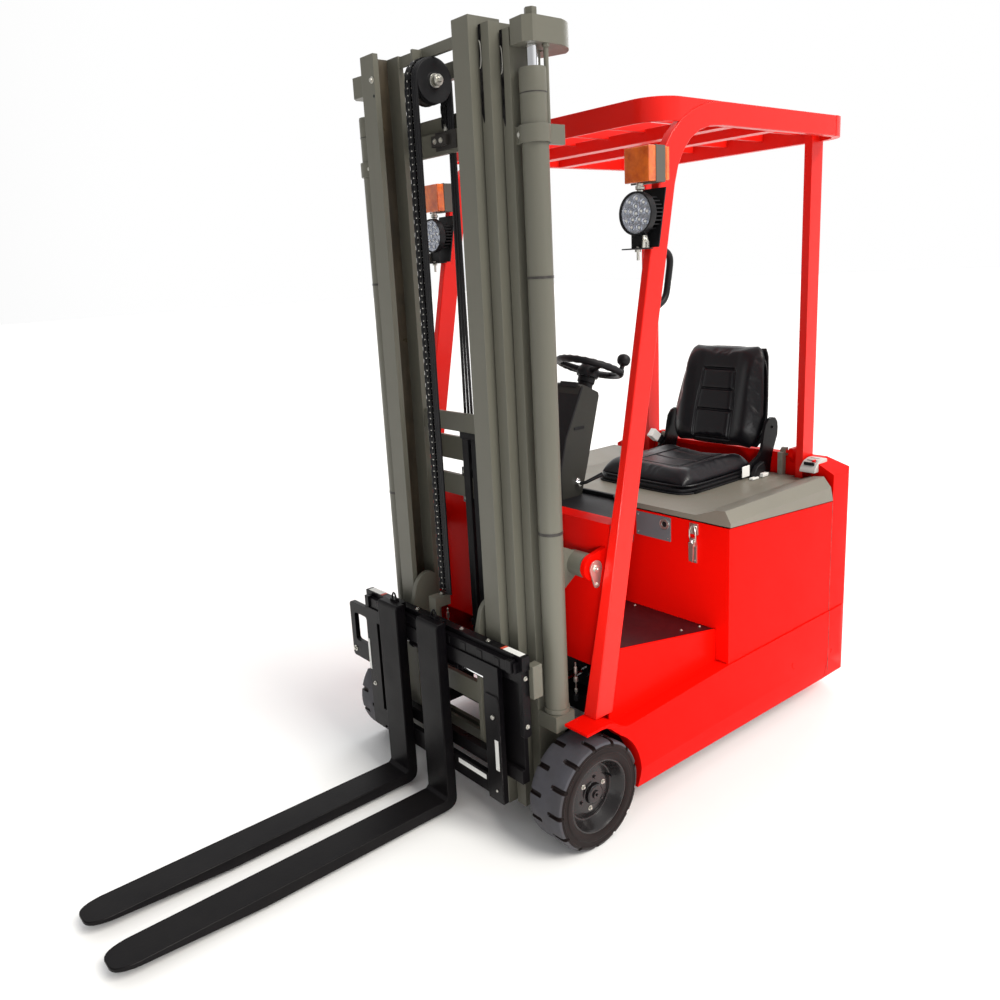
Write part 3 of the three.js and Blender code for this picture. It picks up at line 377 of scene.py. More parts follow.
class Mesh:
    """Collects solids in one mesh, in millimetres from the floor below the front wheels' axis."""

    def __init__(self):
        self.bm = bmesh.new()

    def _faces(self, points, faces, m):
        verts = [self.bm.verts.new(P(*p)) for p in points]
        for f in faces:
            self.bm.faces.new([verts[i] for i in f]).material_index = m

    def box(self, x0, x1, y0, y1, z0, z1, m=0):
        pts = [(x, y, z) for x in (x0, x1) for y in (y0, y1) for z in (z0, z1)]
        self._faces(
            pts, [(0, 1, 3, 2), (4, 6, 7, 5), (0, 4, 5, 1), (2, 3, 7, 6), (0, 2, 6, 4), (1, 5, 7, 3)], m,
        )

    def prism(self, outline, axis, a, b, m=0):
        k = AXES[axis]
        n = len(outline)

        def put(u, v, w):
            p = [u, v]
            p.insert(k, w)
            return p
        pts = [put(u, v, a) for u, v in outline] + [put(u, v, b) for u, v in outline]
        faces = [tuple(range(n))[::-1], tuple(range(n, 2 * n))]
        faces += [(i, (i + 1) % n, n + (i + 1) % n, n + i) for i in range(n)]
        self._faces(pts, faces, m)

    def ring(self, centre, side, other, r, sides):
        verts = []
        for k in range(sides):
            w = 2 * math.pi * k / sides
            verts.append(self.bm.verts.new(P(*(centre + (side * math.cos(w) + other * math.sin(w)) * r))))
        return verts

    def bridge(self, a, b, m=0):
        """Faces between two rings of points, either of which may be a single point."""
        n = max(len(a), len(b))
        for k in range(n if n > 1 else 0):
            j = (k + 1) % n
            if len(a) == 1:
                corners = (a[0], b[k], b[j])
            elif len(b) == 1:
                corners = (a[k], a[j], b[0])
            else:
                corners = (a[k], a[j], b[j], b[k])
            self.bm.faces.new(corners).material_index = m

    def rod(self, a, b, r, sides=20, m=0):
        self.sweep([a, b], r, sides, m)

    def sweep(self, path, radii, sides=12, m=0):
        """A tube along a path, capped at its ends, of one radius or of one for each point."""
        path = [Vector(p) for p in path]
        if isinstance(radii, (int, float)):
            radii = [radii] * len(path)
        last = len(path) - 1
        tangents = [(path[min(i + 1, last)] - path[max(i - 1, 0)]).normalized() for i in range(last + 1)]
        side = tangents[0].orthogonal().normalized()
        rings = []
        for p, t, r in zip(path, tangents, radii):
            side = (side - t * side.dot(t)).normalized()
            rings.append(self.ring(p, side, t.cross(side), r, sides))
        for a, b in zip(rings, rings[1:]):
            self.bridge(a, b, m)
        for ring in (rings[0][::-1], rings[-1]):
            self.bm.faces.new(ring).material_index = m

    def lathe(self, profile, centre, way, sides=48, m=0, closed=True):
        """Turns a profile of (along, radius) about the axis `way` through `centre`."""
        way = Vector(way).normalized()
        side = way.orthogonal().normalized()
        other = way.cross(side)
        rings = []
        for along, r in profile:
            at = Vector(centre) + way * along
            rings.append(self.ring(at, side, other, r, sides) if r > 0 else [self.bm.verts.new(P(*at))])
        for a, b in zip(rings, rings[1:] + (rings[:1] if closed else [])):
            self.bridge(a, b, m)

    def turn(self, profile, centre, way, sides=48, m=0):
        """A lathe whose profile starts and ends on the axis."""
        self.lathe(profile, centre, way, sides, m, closed=False)

    def bolt(self, at, way, size, m=0, washer=True, thick=None):
        """A hexagon head on a washer, standing on `at` and facing `way`."""
        way = Vector(way).normalized()
        at = Vector(at)
        thick = thick or size * 0.55
        base = 0.0
        if washer:
            base = size * 0.14
            self.rod(at - way * 0.5, at + way * base, size * 0.92, 20, m)
        self.turn(
            [(base - 0.2, 0), (base - 0.2, size * 0.56), (base + thick * 0.85, size * 0.56),
            (base + thick, size * 0.48), (base + thick, 0)], at, way, 6, m,
        )

    def done(self, name, mats, body, bevel=0.0, segments=2, angle=32, replace=()):
        """Makes the object, rounds and smooths it, rides it on its body and hides the CAD nodes that it
        replaces.
        """
        o = to_object(name, self.bm, mats)
        finish_mesh(o, bevel, segments, angle)
        if body:
            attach(o, body)
        if replace:
            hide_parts(*replace)
        return o


def to_object(name, bm, mats=()):
    bmesh.ops.recalc_face_normals(bm, faces=bm.faces)
    mesh = bpy.data.meshes.new(name)
    bm.to_mesh(mesh)
    bm.free()
    for mat in (mats if isinstance(mats, (list, tuple)) else [mats]):
        mesh.materials.append(mat)
    return new_object(name, mesh)


def finish_mesh(o, bevel, segments, angle):
    """Rounds the edges sharper than `angle` by `bevel` millimetres, and shades the rest smoothly."""
    o.data.shade_smooth()
    if bevel:
        m = o.modifiers.new("bevel", "BEVEL")
        m.width = bevel / 1000
        m.segments = segments
        m.limit_method = "ANGLE"
        m.angle_limit = math.radians(angle)
        m.harden_normals = False
        m.use_clamp_overlap = True
        o.modifiers.new("normals", "WEIGHTED_NORMAL").keep_sharp = True
    o.data.set_sharp_from_angle(angle=math.radians(50 if bevel else angle))


def refine(name, bevel, mats, segments=2, choose=None, convex=False):
    """The CAD node's own shape with clean faces and rounded edges, in place of the node."""
    bm = bmesh.new()
    bm.from_mesh(frame["nodes"][name].data)
    bmesh.ops.remove_doubles(bm, verts=bm.verts, dist=2e-5)
    bmesh.ops.dissolve_limit(bm, angle_limit=math.radians(1.0), verts=bm.verts, edges=bm.edges)
    if convex:
        bmesh.ops.connect_verts_concave(bm, faces=bm.faces[:])
    if choose:
        for f in bm.faces:
            f.material_index = choose(f)
    o = to_object(name + "_skin", bm, mats)
    finish_mesh(o, bevel, segments, 32)
    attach(o, BODY[name])
    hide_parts(name)


SIDES = (("left", 1), ("right", -1))
SLOT_DEPTH = 8.0


# ---------------------------------------------------------------- wheels

def tyre_piece(name, x, y, radius, width, inner, lugs):
    """A solid tyre with slots cut into both shoulders, staggered from side to side."""
    half = width / 2
    m = Mesh()
    tread = [-half + 7, -half + 16, -half + 30, -half + 50, -half + 54, 0]
    tread = tread + [-v for v in tread[-2::-1]]
    outer = [
        (-half + 4, inner), (-half + 1.0, inner + 6), (-half, inner + 14), (-half, radius - 34),
        (-half + 2.5, radius - 30), (-half + 2.5, radius - 19), (-half + 0.4, radius - 16),
        (-half + 2.5, radius - 8),
    ]
    ring = outer + [(t, radius - (2.2 if abs(t) > half - 10 else 0)) for t in tread]
    ring += [(-a, r) for a, r in outer[::-1]]
    kinds = [1] * len(outer) + [0] * len(tread) + [1] * len(outer)
    pitch = 2 * math.pi / lugs
    stations = []
    for i in range(lugs * 2):
        middle = i * pitch / 2
        for off, deep in ((-0.095, 0), (-0.058, 1), (0.058, 1), (0.095, 0), (0.17, 0)):
            stations.append((middle + off * pitch, i % 2, deep))
    rows = []
    floor_of_slots = set()
    for w, side, deep in stations:
        row = []
        for (a, r), kind in zip(ring, kinds):
            rr = r
            slot = deep and ((side == 0 and a < -half + 51) or (side == 1 and a > half - 51))
            if slot and r > radius - 12:
                rr = r - SLOT_DEPTH * (1.0 if abs(a) > half - 40 else 0.8)
            row.append(m.bm.verts.new(P(x + a, y + rr * math.cos(w), radius + rr * math.sin(w))))
            if rr < r:
                floor_of_slots.add(row[-1])
        rows.append(row)
    n = len(ring)
    for a, b in zip(rows, rows[1:] + rows[:1]):
        for i in range(n):
            j = (i + 1) % n
            f = m.bm.faces.new((a[i], a[j], b[j], b[i]))
            # Faces in the slots take the darker sidewall rubber: painted shade in the slots.
            slot_shade = sum(v in floor_of_slots for v in f.verts) > 1
            f.material_index = 1 if kinds[i] and kinds[j] else 2 if slot_shade else 0
    m.done(name + "_tread", [RUBBER, SIDEWALL, SIDEWALL], BODY[name], 0, angle=28, replace=(name,))


def rim_piece(name, x, y, z, radius, half, side, pocket):
    """A dished rim with a hub cap and wheel bolts on the side it shows."""
    m = Mesh()
    way = (side, 0, 0)
    stub = 26.6
    bolts = 6
    m.turn(
        [(half - 20, 0), (half - 20, 26), (half - 23, 31), (half - 34, 33), (half - 36, 37), (half - 36, 62),
        (half - 38, 68), (half - 44, 86), (half - 43, 90), (half - 24, radius - 15),
        (half - 12, radius - 10), (half - 5, radius - 5), (half - 5, radius - 0.4),
        (-half + 6, radius - 0.4), (-half + 8, radius - 8), (-half + 40, radius - 16), (half - 52, 86),
        (half - 52, 46), (-half + 20, 40), (-half + 20, stub), (pocket, stub), (pocket, 0)], (x, y, z), way,
        64,
    )
    for k in range(bolts):
        w = 2 * math.pi * (k + 0.3) / bolts
        at = (x + side * (half - 36.5), y + 50 * math.cos(w), z + 50 * math.sin(w))
        m.bolt(at, way, 9, m=1 if k % 2 == 0 else 0)
    m.rod((x + side * (half - 20.5), y, z), (x + side * (half - 15), y, z), 13, 24)
    m.bolt((x + side * (half - 15), y, z), way, 8, washer=False)
    m.sweep([
        (x + side * (half - 43), y + 70, z + 32), (x + side * (half - 30), y + 70, z + 33),
        (x + side * (half - 16), y + 68, z + 33),
    ], [4, 4, 3], 10, m=2)
    m.done(name + "_dish", [RIM, ZINC, PLASTIC], BODY[name], 0.8, angle=30, replace=(name,))


FRONT_RADIUS, FRONT_WIDTH, FRONT_RIM, FRONT_X = 172, 138, 117, 475
REAR_RADIUS, REAR_WIDTH, REAR_RIM, REAR_WHEEL_Y = 155, 110, 105, 1230
for label, s in SIDES:
    tyre_piece(f"front_tyre_{label}", s * FRONT_X, 0, FRONT_RADIUS, FRONT_WIDTH, FRONT_RIM, 13)
    rim_piece(f"front_rim_{label}", s * FRONT_X, 0, FRONT_RADIUS, FRONT_RIM, FRONT_WIDTH / 2, s, 36)
tyre_piece("rear_tyre", 0, REAR_WHEEL_Y, REAR_RADIUS, REAR_WIDTH, REAR_RIM, 12)
rim_piece("rear_rim", 0, REAR_WHEEL_Y, REAR_RADIUS, REAR_RIM, REAR_WIDTH / 2, -1, 18)


# ---------------------------------------------------------------- body, guard and mast from the CAD shapes

def channel(f):
    """The greased faces inside the inner rails' channels."""
    c = f.calc_center_median()
    x, y = abs(c.x) * 1000, (c.y - SHIFT) * 1000
    return 1 if 191 < x < 252 and -107 < y < -34 and f.calc_area() > 0.05 else 0


for row in [
    ("body_side_left", 3.0, RED), ("guard_side_left", 3.0, GUARD_RED), ("body_side_right", 3.0, RED),
    ("guard_side_right", 3.0, GUARD_RED), ("kick_panel", 1.0, RED), ("front_cowl", 2.0, RED),
    ("counterweight", 5.0, RED, 3), ("guard_roof", 2.0, GUARD_RED),
    ("guard_rear", 3.0, GUARD_RED, 2, None, True), ("hood", 5.0, COVER, 3), ("floor_plate", 0.8, MAT),
    ("chassis_frame", 1.5, BLACK), ("front_axle_frame", 2.0, BLACK), ("battery", 4.0, CASE),
    ("drive_unit", 2.0, IRON), ("seat_frame", 1.2, BLACK), ("outer_mast", 1.6, GREY),
    ("mid_mast", 1.6, GREY), ("inner_mast", 1.6, [GREY, GREASY], 2, channel),
    ("lift_cylinder_left", 1.2, GREY), ("lift_rod_left", 0.8, CHROME), ("tilt_cylinder_left", 1.2, BLACK),
    ("tilt_rod_left", 1.0, CHROME), ("lift_cylinder_right", 1.2, GREY), ("lift_rod_right", 0.8, CHROME),
    ("tilt_cylinder_right", 1.2, BLACK), ("tilt_rod_right", 1.0, CHROME), ("chain_sheave", 1.0, IRON),
    ("carriage_rollers", 1.6, GREY), ("carriage_frame", 1.6, BLACK), ("side_shift_frame", 2.0, BLACK),
    ("fork_left", 3.0, FORK), ("fork_right", 3.0, FORK),
]:
    refine(*row)


# ---------------------------------------------------------------- seat

LEAN = Vector((0, 0.223, 0.975))           # up the backrest
FACING = Vector((0, -0.975, 0.223))        # out of its front
BACK_FOOT = Vector((0, 1303, 972))


def bell(x, at, width):
    """1 at `at`, falling smoothly to 0 at `width` away."""
    d = abs(x - at) / width
    return 0.0 if d >= 1 else 0.5 + 0.5 * math.cos(math.pi * d)


def step(x, a, b):
    t = min(1.0, max(0.0, (x - a) / (b - a)))
    return t * t * (3 - 2 * t)


def pillow(name, cells, place):
    """A closed pad from two grids with one border: place(s, t, face) gives a point for s, t in -1..1."""
    bm = bmesh.new()
    grids = []
    for face in (1, -1):
        grid = []
        for i in range(cells + 1):
            row = []
            for j in range(cells + 1):
                edge = i in (0, cells) or j in (0, cells)
                if face == -1 and edge:
                    row.append(grids[0][i][j])
                    continue
                s = math.sin(math.pi / 2 * (2 * i / cells - 1))
                t = math.sin(math.pi / 2 * (2 * j / cells - 1))
                row.append(bm.verts.new(P(*place(s, t, 0 if edge else face))))
            grid.append(row)
        grids.append(grid)
        for i in range(cells):
            for j in range(cells):
                quad = [grid[i][j], grid[i + 1][j], grid[i + 1][j + 1], grid[i][j + 1]]
                bm.faces.new(quad if face == 1 else quad[::-1])
    return to_object(name, bm)


def evaluated(o):
    bpy.context.view_layer.update()
    return bpy.data.meshes.new_from_object(o.evaluated_get(bpy.context.evaluated_depsgraph_get()))


CLOTH_FRAMES = 20


def puff(o, cap):
    """Remeshes a pad and lets air pressure round it as cloth, no point moving further than `cap` metres."""
    m = o.modifiers.new("voxels", "REMESH")
    m.mode = "VOXEL"
    m.voxel_size = 0.0065
    fine = evaluated(o)
    o.modifiers.clear()
    o.data = fine
    start = [v.co.copy() for v in o.data.vertices]
    cloth = o.modifiers.new("cloth", "CLOTH")
    cloth.settings.use_pressure = True
    cloth.settings.uniform_pressure_force = 4.0
    cloth.settings.effector_weights.gravity = 0
    cloth.settings.quality = 5
    cloth.settings.tension_stiffness = 18
    cloth.settings.compression_stiffness = 18
    cloth.settings.bending_stiffness = 1.5
    cloth.point_cache.frame_start = 1
    cloth.point_cache.frame_end = CLOTH_FRAMES
    for f in range(1, CLOTH_FRAMES + 1):
        bpy.context.scene.frame_set(f)
    blown = evaluated(o)
    for v, rest, new in zip(o.data.vertices, start, blown.vertices):
        move = new.co - rest
        v.co = rest + (move if move.length < cap else move.normalized() * cap)
    o.modifiers.clear()
    bpy.context.scene.frame_set(1)
    m = o.modifiers.new("smooth", "SUBSURF")
    m.levels = m.render_levels = 1
    smooth = evaluated(o)
    o.modifiers.clear()
    o.data = smooth
    return o


# The backrest's half width at each height above its foot.
BACK_WIDTHS = [
    (0, 186), (20, 208), (60, 225), (140, 229), (220, 219), (320, 204), (380, 194), (408, 182), (428, 158),
]


def half_width(v):
    for (a, wa), (b, wb) in zip(BACK_WIDTHS, BACK_WIDTHS[1:]):
        if v <= b:
            return wa + (wb - wa) * max(0.0, (v - a) / (b - a))
    return BACK_WIDTHS[-1][1]


def backrest_place(s, t, face):
    v = 213 + 212 * t
    wide = half_width(v) - 4
    thick = (1 - abs(s) ** 7) ** 0.45 * (1 - abs(t) ** 9) ** 0.45
    w = {1: 30, 0: 0, -1: -20}[face] * thick
    p = BACK_FOOT + LEAN * v + FACING * w
    return (wide * s, p.y, p.z)


def backrest_shape(u, v):
    """How far the front of the backrest stands out at (u, v): wings, a hooped groove and three pads."""
    out = 11 * bell(abs(u), 148, 46) * step(v, 20, 90) * step(v, 392, 300)
    inside = 88 - 12 * step(v, 150, 300)
    groove = bell(abs(u), inside, 9) * step(v, 18, 40) * step(v, 322, 306)
    groove = max(groove, bell(v, 316, 9) * step(abs(u), inside + 4, inside - 4))
    for at in (232, 146):
        groove = max(groove, bell(v, at, 8) * step(abs(u), inside, inside - 3))
    groove = max(groove, bell(v, 30, 8) * step(abs(u), inside, inside - 3) * 0.7)
    pads = 5 * step(abs(u), inside, inside - 22) * step(v, 22, 44) * step(v, 320, 300)
    return out + pads - 10 * groove - 3 * step(abs(u), inside + 34, inside) * step(v, 18, 60)


def rounded_square(count, power):
    """Points (s, t) round a square from -1 to 1 whose corners are softer as `power` rises."""
    turns = [2 * math.pi * k / count for k in range(count)]
    return [tuple(math.copysign(abs(c) ** power, c) for c in (math.cos(a), math.sin(a))) for a in turns]


def as_pad(o, node_name):
    o.data.materials.clear()
    o.data.materials.append(VINYL)
    o.data.shade_smooth()
    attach(o, "hood")
    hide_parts(node_name)


def seat_back():
    o = puff(pillow("backrest_pad", 44, backrest_place), 0.012)
    foot = P(*BACK_FOOT)
    upward = LEAN.normalized()
    out = FACING.normalized()
    for v in o.data.vertices:
        d = v.co - foot
        u, h, w = d.x * 1000, d.dot(upward) * 1000, d.dot(out) * 1000
        if w > 0:
            v.co += out * backrest_shape(u, h) / 1000 * min(1.0, w / 14)
    as_pad(o, "seat_backrest")
    m = Mesh()
    path = []
    for s, t in rounded_square(72, 0.45) + rounded_square(72, 0.45)[:1]:
        v = 212 + 201 * t
        p = BACK_FOOT + LEAN * v + FACING * -7
        path.append(((half_width(v) - 7) * s, p.y, p.z))
    m.sweep(path, 3.2, 8)
    m.done("backrest_piping", VINYL, "hood")
    m = Mesh()
    rows = []
    for i in range(25):
        v = 14 + 397 * i / 24
        row = []
        for s in [k / 12 for k in range(-12, 13)]:
            w = -24 - 5 * (1 - s * s) + 9 * max(0.0, abs(s) - 0.8) / 0.2
            p = BACK_FOOT + LEAN * v + FACING * w
            row.append(m.bm.verts.new(P((half_width(v) - 8) * s, p.y, p.z)))
        rows.append(row)
    for a, b in zip(rows, rows[1:]):
        for k in range(24):
            m.bm.faces.new((a[k], a[k + 1], b[k + 1], b[k]))
    o = m.done("backrest_shell", PLASTIC, "hood")
    solid = o.modifiers.new("thick", "SOLIDIFY")
    solid.thickness = 0.004
    solid.offset = 0


CUSHION_Y = 1053


def cushion_place(s, t, face):
    y = CUSHION_Y + 226 * t
    wide = 222 - 8 * step(abs(t), 0.8, 1.0)
    thick = (1 - abs(s) ** 8) ** 0.45 * (1 - abs(t) ** 8) ** 0.45
    z = 917 + {1: 34, 0: 0, -1: -13}[face] * thick
    return (wide * s, y, z)


def cushion_shape(u, y):
    out = 9 * bell(abs(u), 165, 50) * step(y, 860, 930) + 8 * bell(y, 880, 60)
    out -= 6 * bell(abs(u), 0, 130) * step(y, 900, 1000)
    groove = bell(abs(u), 106, 7) * step(y, 925, 950)
    groove = max(groove, bell(y, 938, 8) * step(abs(u), 112, 104))
    groove = max(groove, 0.7 * bell(y, 1050, 7) * step(abs(u), 108, 102))
    groove = max(groove, 0.7 * bell(y, 1160, 7) * step(abs(u), 108, 102))
    return out - 7 * groove


def seat_bottom():
    o = puff(pillow("cushion_pad", 44, cushion_place), 0.014)
    for v in o.data.vertices:
        x, y, z = v.co.x * 1000, (v.co.y - SHIFT) * 1000, v.co.z * 1000
        if z > 918:
            z += cushion_shape(x, y) * min(1.0, (z - 918) / 12)
        v.co = P(x, y, min(974.0, max(897.5, z)))
    as_pad(o, "seat_cushion")
    for name, z, grow, r in (("cushion_piping", 917, 7, 3.4), ("cushion_seam", 904, 2, 2.2)):
        m = Mesh()
        path = [((219 + grow) * s, CUSHION_Y + (223 + grow) * t, z) for s, t in rounded_square(96, 0.3)]
        m.sweep(path + path[:1], r, 8)
        m.done(name, VINYL, "hood")


seat_back()
seat_bottom()

# The moulded tray under the cushion.
m = Mesh()
for z0, z1, grow in ((886.4, 893, 10), (893, 898, 2), (898, 906, 7)):
    m.prism([((225 + grow) * s, 1050 + (228 + grow) * t) for s, t in rounded_square(48, 0.3)], "z", z0, z1)
m.done("seat_tray", PLASTIC, "hood", 1.5)

for label, s in SIDES:
    x0, x1 = s * 231.5, s * 243.5
    m = Mesh()
    m.prism(
        [(1198, 886.5), (1342, 886.5), (1348, 930), (1356, 960), (1388, 1030), (1390, 1060), (1386, 1084),
        (1370, 1102), (1346, 1106), (1322, 1098), (1304, 1078), (1294, 1044), (1282, 984), (1262, 962),
        (1214, 944), (1200, 930)], "x", x0, x1,
    )
    m.box(x0 - s * 12, x0 + s * 1, 880, 1290, 887, 897)
    m.bolt((x1, 1350, 1066), (s, 0, 0), 8)
    m.bolt((x1, 1300, 925), (s, 0, 0), 9)
    m.done(f"seat_bracket_{label}", [BLACK, ZINC], "hood", 1.5)
    # Buckle of the lap belt: a stalk, the latch's black shell and a blank white tag.
    m = Mesh()
    if s > 0:
        m.prism([(1196, 888), (1262, 888), (1276, 912), (1262, 944), (1222, 932), (1200, 908)], "x", 247, 266)
        m.prism([(1232, 887.5), (1268, 887.5), (1274, 900), (1236, 902)], "x", 262, 282, m=1)
        m.box(244, 248, 1146, 1194, 896, 940, m=1)
        m.box(262, 280, 1168, 1210, 887, 895, m=1)
        m.sweep([(256, 1262, 930), (258, 1246, 908), (264, 1222, 892), (270, 1196, 890)], 7, 8)
    else:
        m.prism([(1236, 978), (1262, 1004), (1306, 968), (1288, 940)], "x", -264, -245)
        m.prism([(1192, 1002), (1222, 1030), (1262, 998), (1234, 970)], "x", -268, -242, m=1)
        m.sweep([(-254, 1296, 956), (-252, 1306, 932), (-250, 1300, 906), (-250, 1288, 892)], 8, 8)
    m.done(f"belt_buckle_{label}", [PLASTIC, LABEL], "hood", 3)


# ---------------------------------------------------------------- chain, hoses and sheaves

PULLEY_Y, PULLEY_Z, PULLEY_R = -35, 2281, 58


def link(m, x, thick, a, b, wide):
    """A chain plate with waisted sides between pins at a and b, each (y, z)."""
    a, b = Vector(a), Vector(b)
    along = (b - a).normalized()
    side = Vector((-along.y, along.x))
    pts = []
    for base, sign in ((b, 1), (a, -1)):
        for k in range(5):
            w = math.pi * (k / 4 - 0.5)
            p = base + along * (math.cos(w) * wide * sign) + side * (math.sin(w) * wide * sign)
            pts.append((p.x, p.y))
    m.prism(pts, "x", x - thick / 2, x + thick / 2)


def chain(m, path, x0, x1):
    """Leaf chain along pins at path [(y, z)]: wide and narrow plates in turn, a pin through each joint."""
    plates = [(x0 + (x1 - x0) * (k + 0.5) / 7, k % 2) for k in range(7)]
    for i, (a, b) in enumerate(zip(path, path[1:])):
        for x, odd in plates:
            link(m, x, 2.9, a, b, 7.4 if (i + odd) % 2 else 5.4)
    for i, (y, z) in enumerate(path):
        m.rod((x0 - 1.2, y, z), (x1 + 1.2, y, z), 3.0, 8, m=1)
        ahead = Vector(path[min(i + 1, len(path) - 1)]) - Vector(path[max(i - 1, 0)])
        sign = 1 if abs(y - PULLEY_Y) < 1 else math.copysign(1, ahead.y * (y - PULLEY_Y))
        out = Vector((ahead.y, -ahead.x)).normalized() * sign
        # A bright zinc dot at each joint, standing out from the chain's edge: a painted glint of the pins.
        m.turn(
            [(4.6, 0), (4.6, 2.7), (7.3, 2.2), (7.9, 0)], (x0 + (x1 - x0) * 0.62, y, z), (0, out.x, out.y),
            8, m=1,
        )


def sheave_path(radius, start, stop, count):
    turns = [math.radians(start + (stop - start) * k / count) for k in range(count + 1)]
    return [(PULLEY_Y + radius * math.cos(w), PULLEY_Z + radius * math.sin(w)) for w in turns]


PITCH = 19.05
CHAIN_LOW, CHAIN_HIGH = -67, -41
CHAIN_X = -53
HOSES = (-35, -26, -17)
HOSE_R = 63
FRONT_Y = PULLEY_Y - PULLEY_R - 6
REAR_Y = PULLEY_Y + PULLEY_R + 6
m = Mesh()
HOSE_END = 704
count = int((PULLEY_Z - HOSE_END) / PITCH)
chain(m, [(FRONT_Y, PULLEY_Z - k * PITCH) for k in range(count + 1)], CHAIN_LOW, CHAIN_HIGH)
o = m.done("chain_front_fall", [CHAIN, ZINC], "inner_mast", replace=("lift_chain",))
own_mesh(o)
m = Mesh()
chain(m, sheave_path(PULLEY_R + 6, 180, 0, 10), CHAIN_LOW, CHAIN_HIGH)
m.done("chain_over_sheave", [CHAIN, ZINC], "inner_mast")
m = Mesh()
chain(m, [(REAR_Y, PULLEY_Z - k * PITCH) for k in range(7)], CHAIN_LOW, CHAIN_HIGH)
m.rod((CHAIN_X, REAR_Y, 2150), (CHAIN_X, REAR_Y, 2172), 7, 12, m=1)
o = m.done("chain_rear_fall", [CHAIN, ZINC], None)
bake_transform(o)

m = Mesh()
for x in HOSES:
    m.sweep([(x, PULLEY_Y - HOSE_R, z) for z in [PULLEY_Z - 40 * k for k in range(39)] + [HOSE_END]], 4.4, 10)
o = m.done("hose_front_fall", HOSE, "inner_mast")
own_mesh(o)
m = Mesh()
for x in HOSES:
    m.sweep([(x, y, z) for y, z in sheave_path(HOSE_R, 180, 0, 18)], 4.4, 10)
m.done("hose_over_sheave", HOSE, "inner_mast")
m = Mesh()
for x in HOSES:
    m.sweep([
        (x + (x + 26) * 0.5 * (1 - z / PULLEY_Z) * 4, PULLEY_Y + HOSE_R, z)
        for z in range(PULLEY_Z, 1240, -30)
    ], 4.6, 10)
o = m.done("hose_rear_fall", HOSE, None)
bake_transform(o)

m = Mesh()
for x0, x1 in ((-36, -6), (10, 40)):
    m.prism([(x0, 0), (x1, 0), (x1, 26), (x0, 26)], "z", 505, 1256)
for z in (560, 1210):
    m.box(-42, 46, -3, 30, z, z + 26)
m.done("hose_conduit", PLASTIC, "mid_mast", 4)
m = Mesh()
m.box(-80, 62, 28, 34, 985, 1105)
for x in (-66, 48):
    for z in (1000, 1090):
        m.bolt((x, 28, z), FRONT, 8, m=1)
m.done("conduit_plate", [BLUE_GREY, ZINC], "mid_mast", 2)


def disc(m, x0, x1, r, flange):
    rim = 4
    m.lathe(
        [(x0, 14.5), (x0, r * 0.42), (x0 + 2, r * 0.46), (x0 + 2, r * 0.80), (x0, r * 0.86),
        (x0, r + flange), (x0 + rim * 0.6, r + flange), (x0 + rim, r), ((x0 + x1) / 2, r - 1.5),
        (x1 - rim, r), (x1 - rim * 0.6, r + flange), (x1, r + flange), (x1, r * 0.86), (x1 - 2, r * 0.80),
        (x1 - 2, r * 0.46), (x1, r * 0.42), (x1, 14.5)], (0, PULLEY_Y, PULLEY_Z), (1, 0, 0), 64,
    )


m = Mesh()
disc(m, -34, -24, 55, 6)
disc(m, -23.5, -12, 55, 7)
m.done("hose_sheave_discs", PLASTIC, "inner_mast", 0.6, replace=("hose_sheave",))
m = Mesh()
m.rod((3.5, PULLEY_Y, PULLEY_Z), (9, PULLEY_Y, PULLEY_Z), 16, 28)
m.bolt((9, PULLEY_Y, PULLEY_Z), (1, 0, 0), 15, thick=10)
m.rod((-12, PULLEY_Y, PULLEY_Z), (-6, PULLEY_Y, PULLEY_Z), 20, 28)
m.done("sheave_bolt", ZINC, "inner_mast", 0.8)

# Chain anchor on the second mast's top crossmember.
m = Mesh()
m.box(-86, 16, 10, 44, 2096, 2150)
m.box(-92, -20, -2, 12, 2108, 2140)
for x in (-74, -44):
    m.bolt((x, -2, 2124), FRONT, 9, m=1)
m.turn([(0, 0), (0, 9), (12, 9), (12, 5), (26, 5), (26, 0)], (CHAIN_X, REAR_Y, 2148), UP, 12, m=1)
m.done("chain_anchor", [IRON, ZINC], "mid_mast", 2)
# Chain bolt and shackle on the carriage.
m = Mesh()
m.turn([(0, 0), (0, 8), (16, 8), (16, 5), (34, 5), (34, 0)], (CHAIN_X, FRONT_Y, 672), UP, 12, m=1)
m.box(-66, -40, FRONT_Y - 12, FRONT_Y + 10, 696, 708)
m.bolt((CHAIN_X, FRONT_Y - 12, 702), FRONT, 7, m=1)
m.done("chain_shackle", [IRON, ZINC], "carriage", 1.2)


# ---------------------------------------------------------------- lamps

LAMP_X, LAMP_Z = 484, 1868


def leg_front(z):
    return 34 + 0.202 * (z - 396)


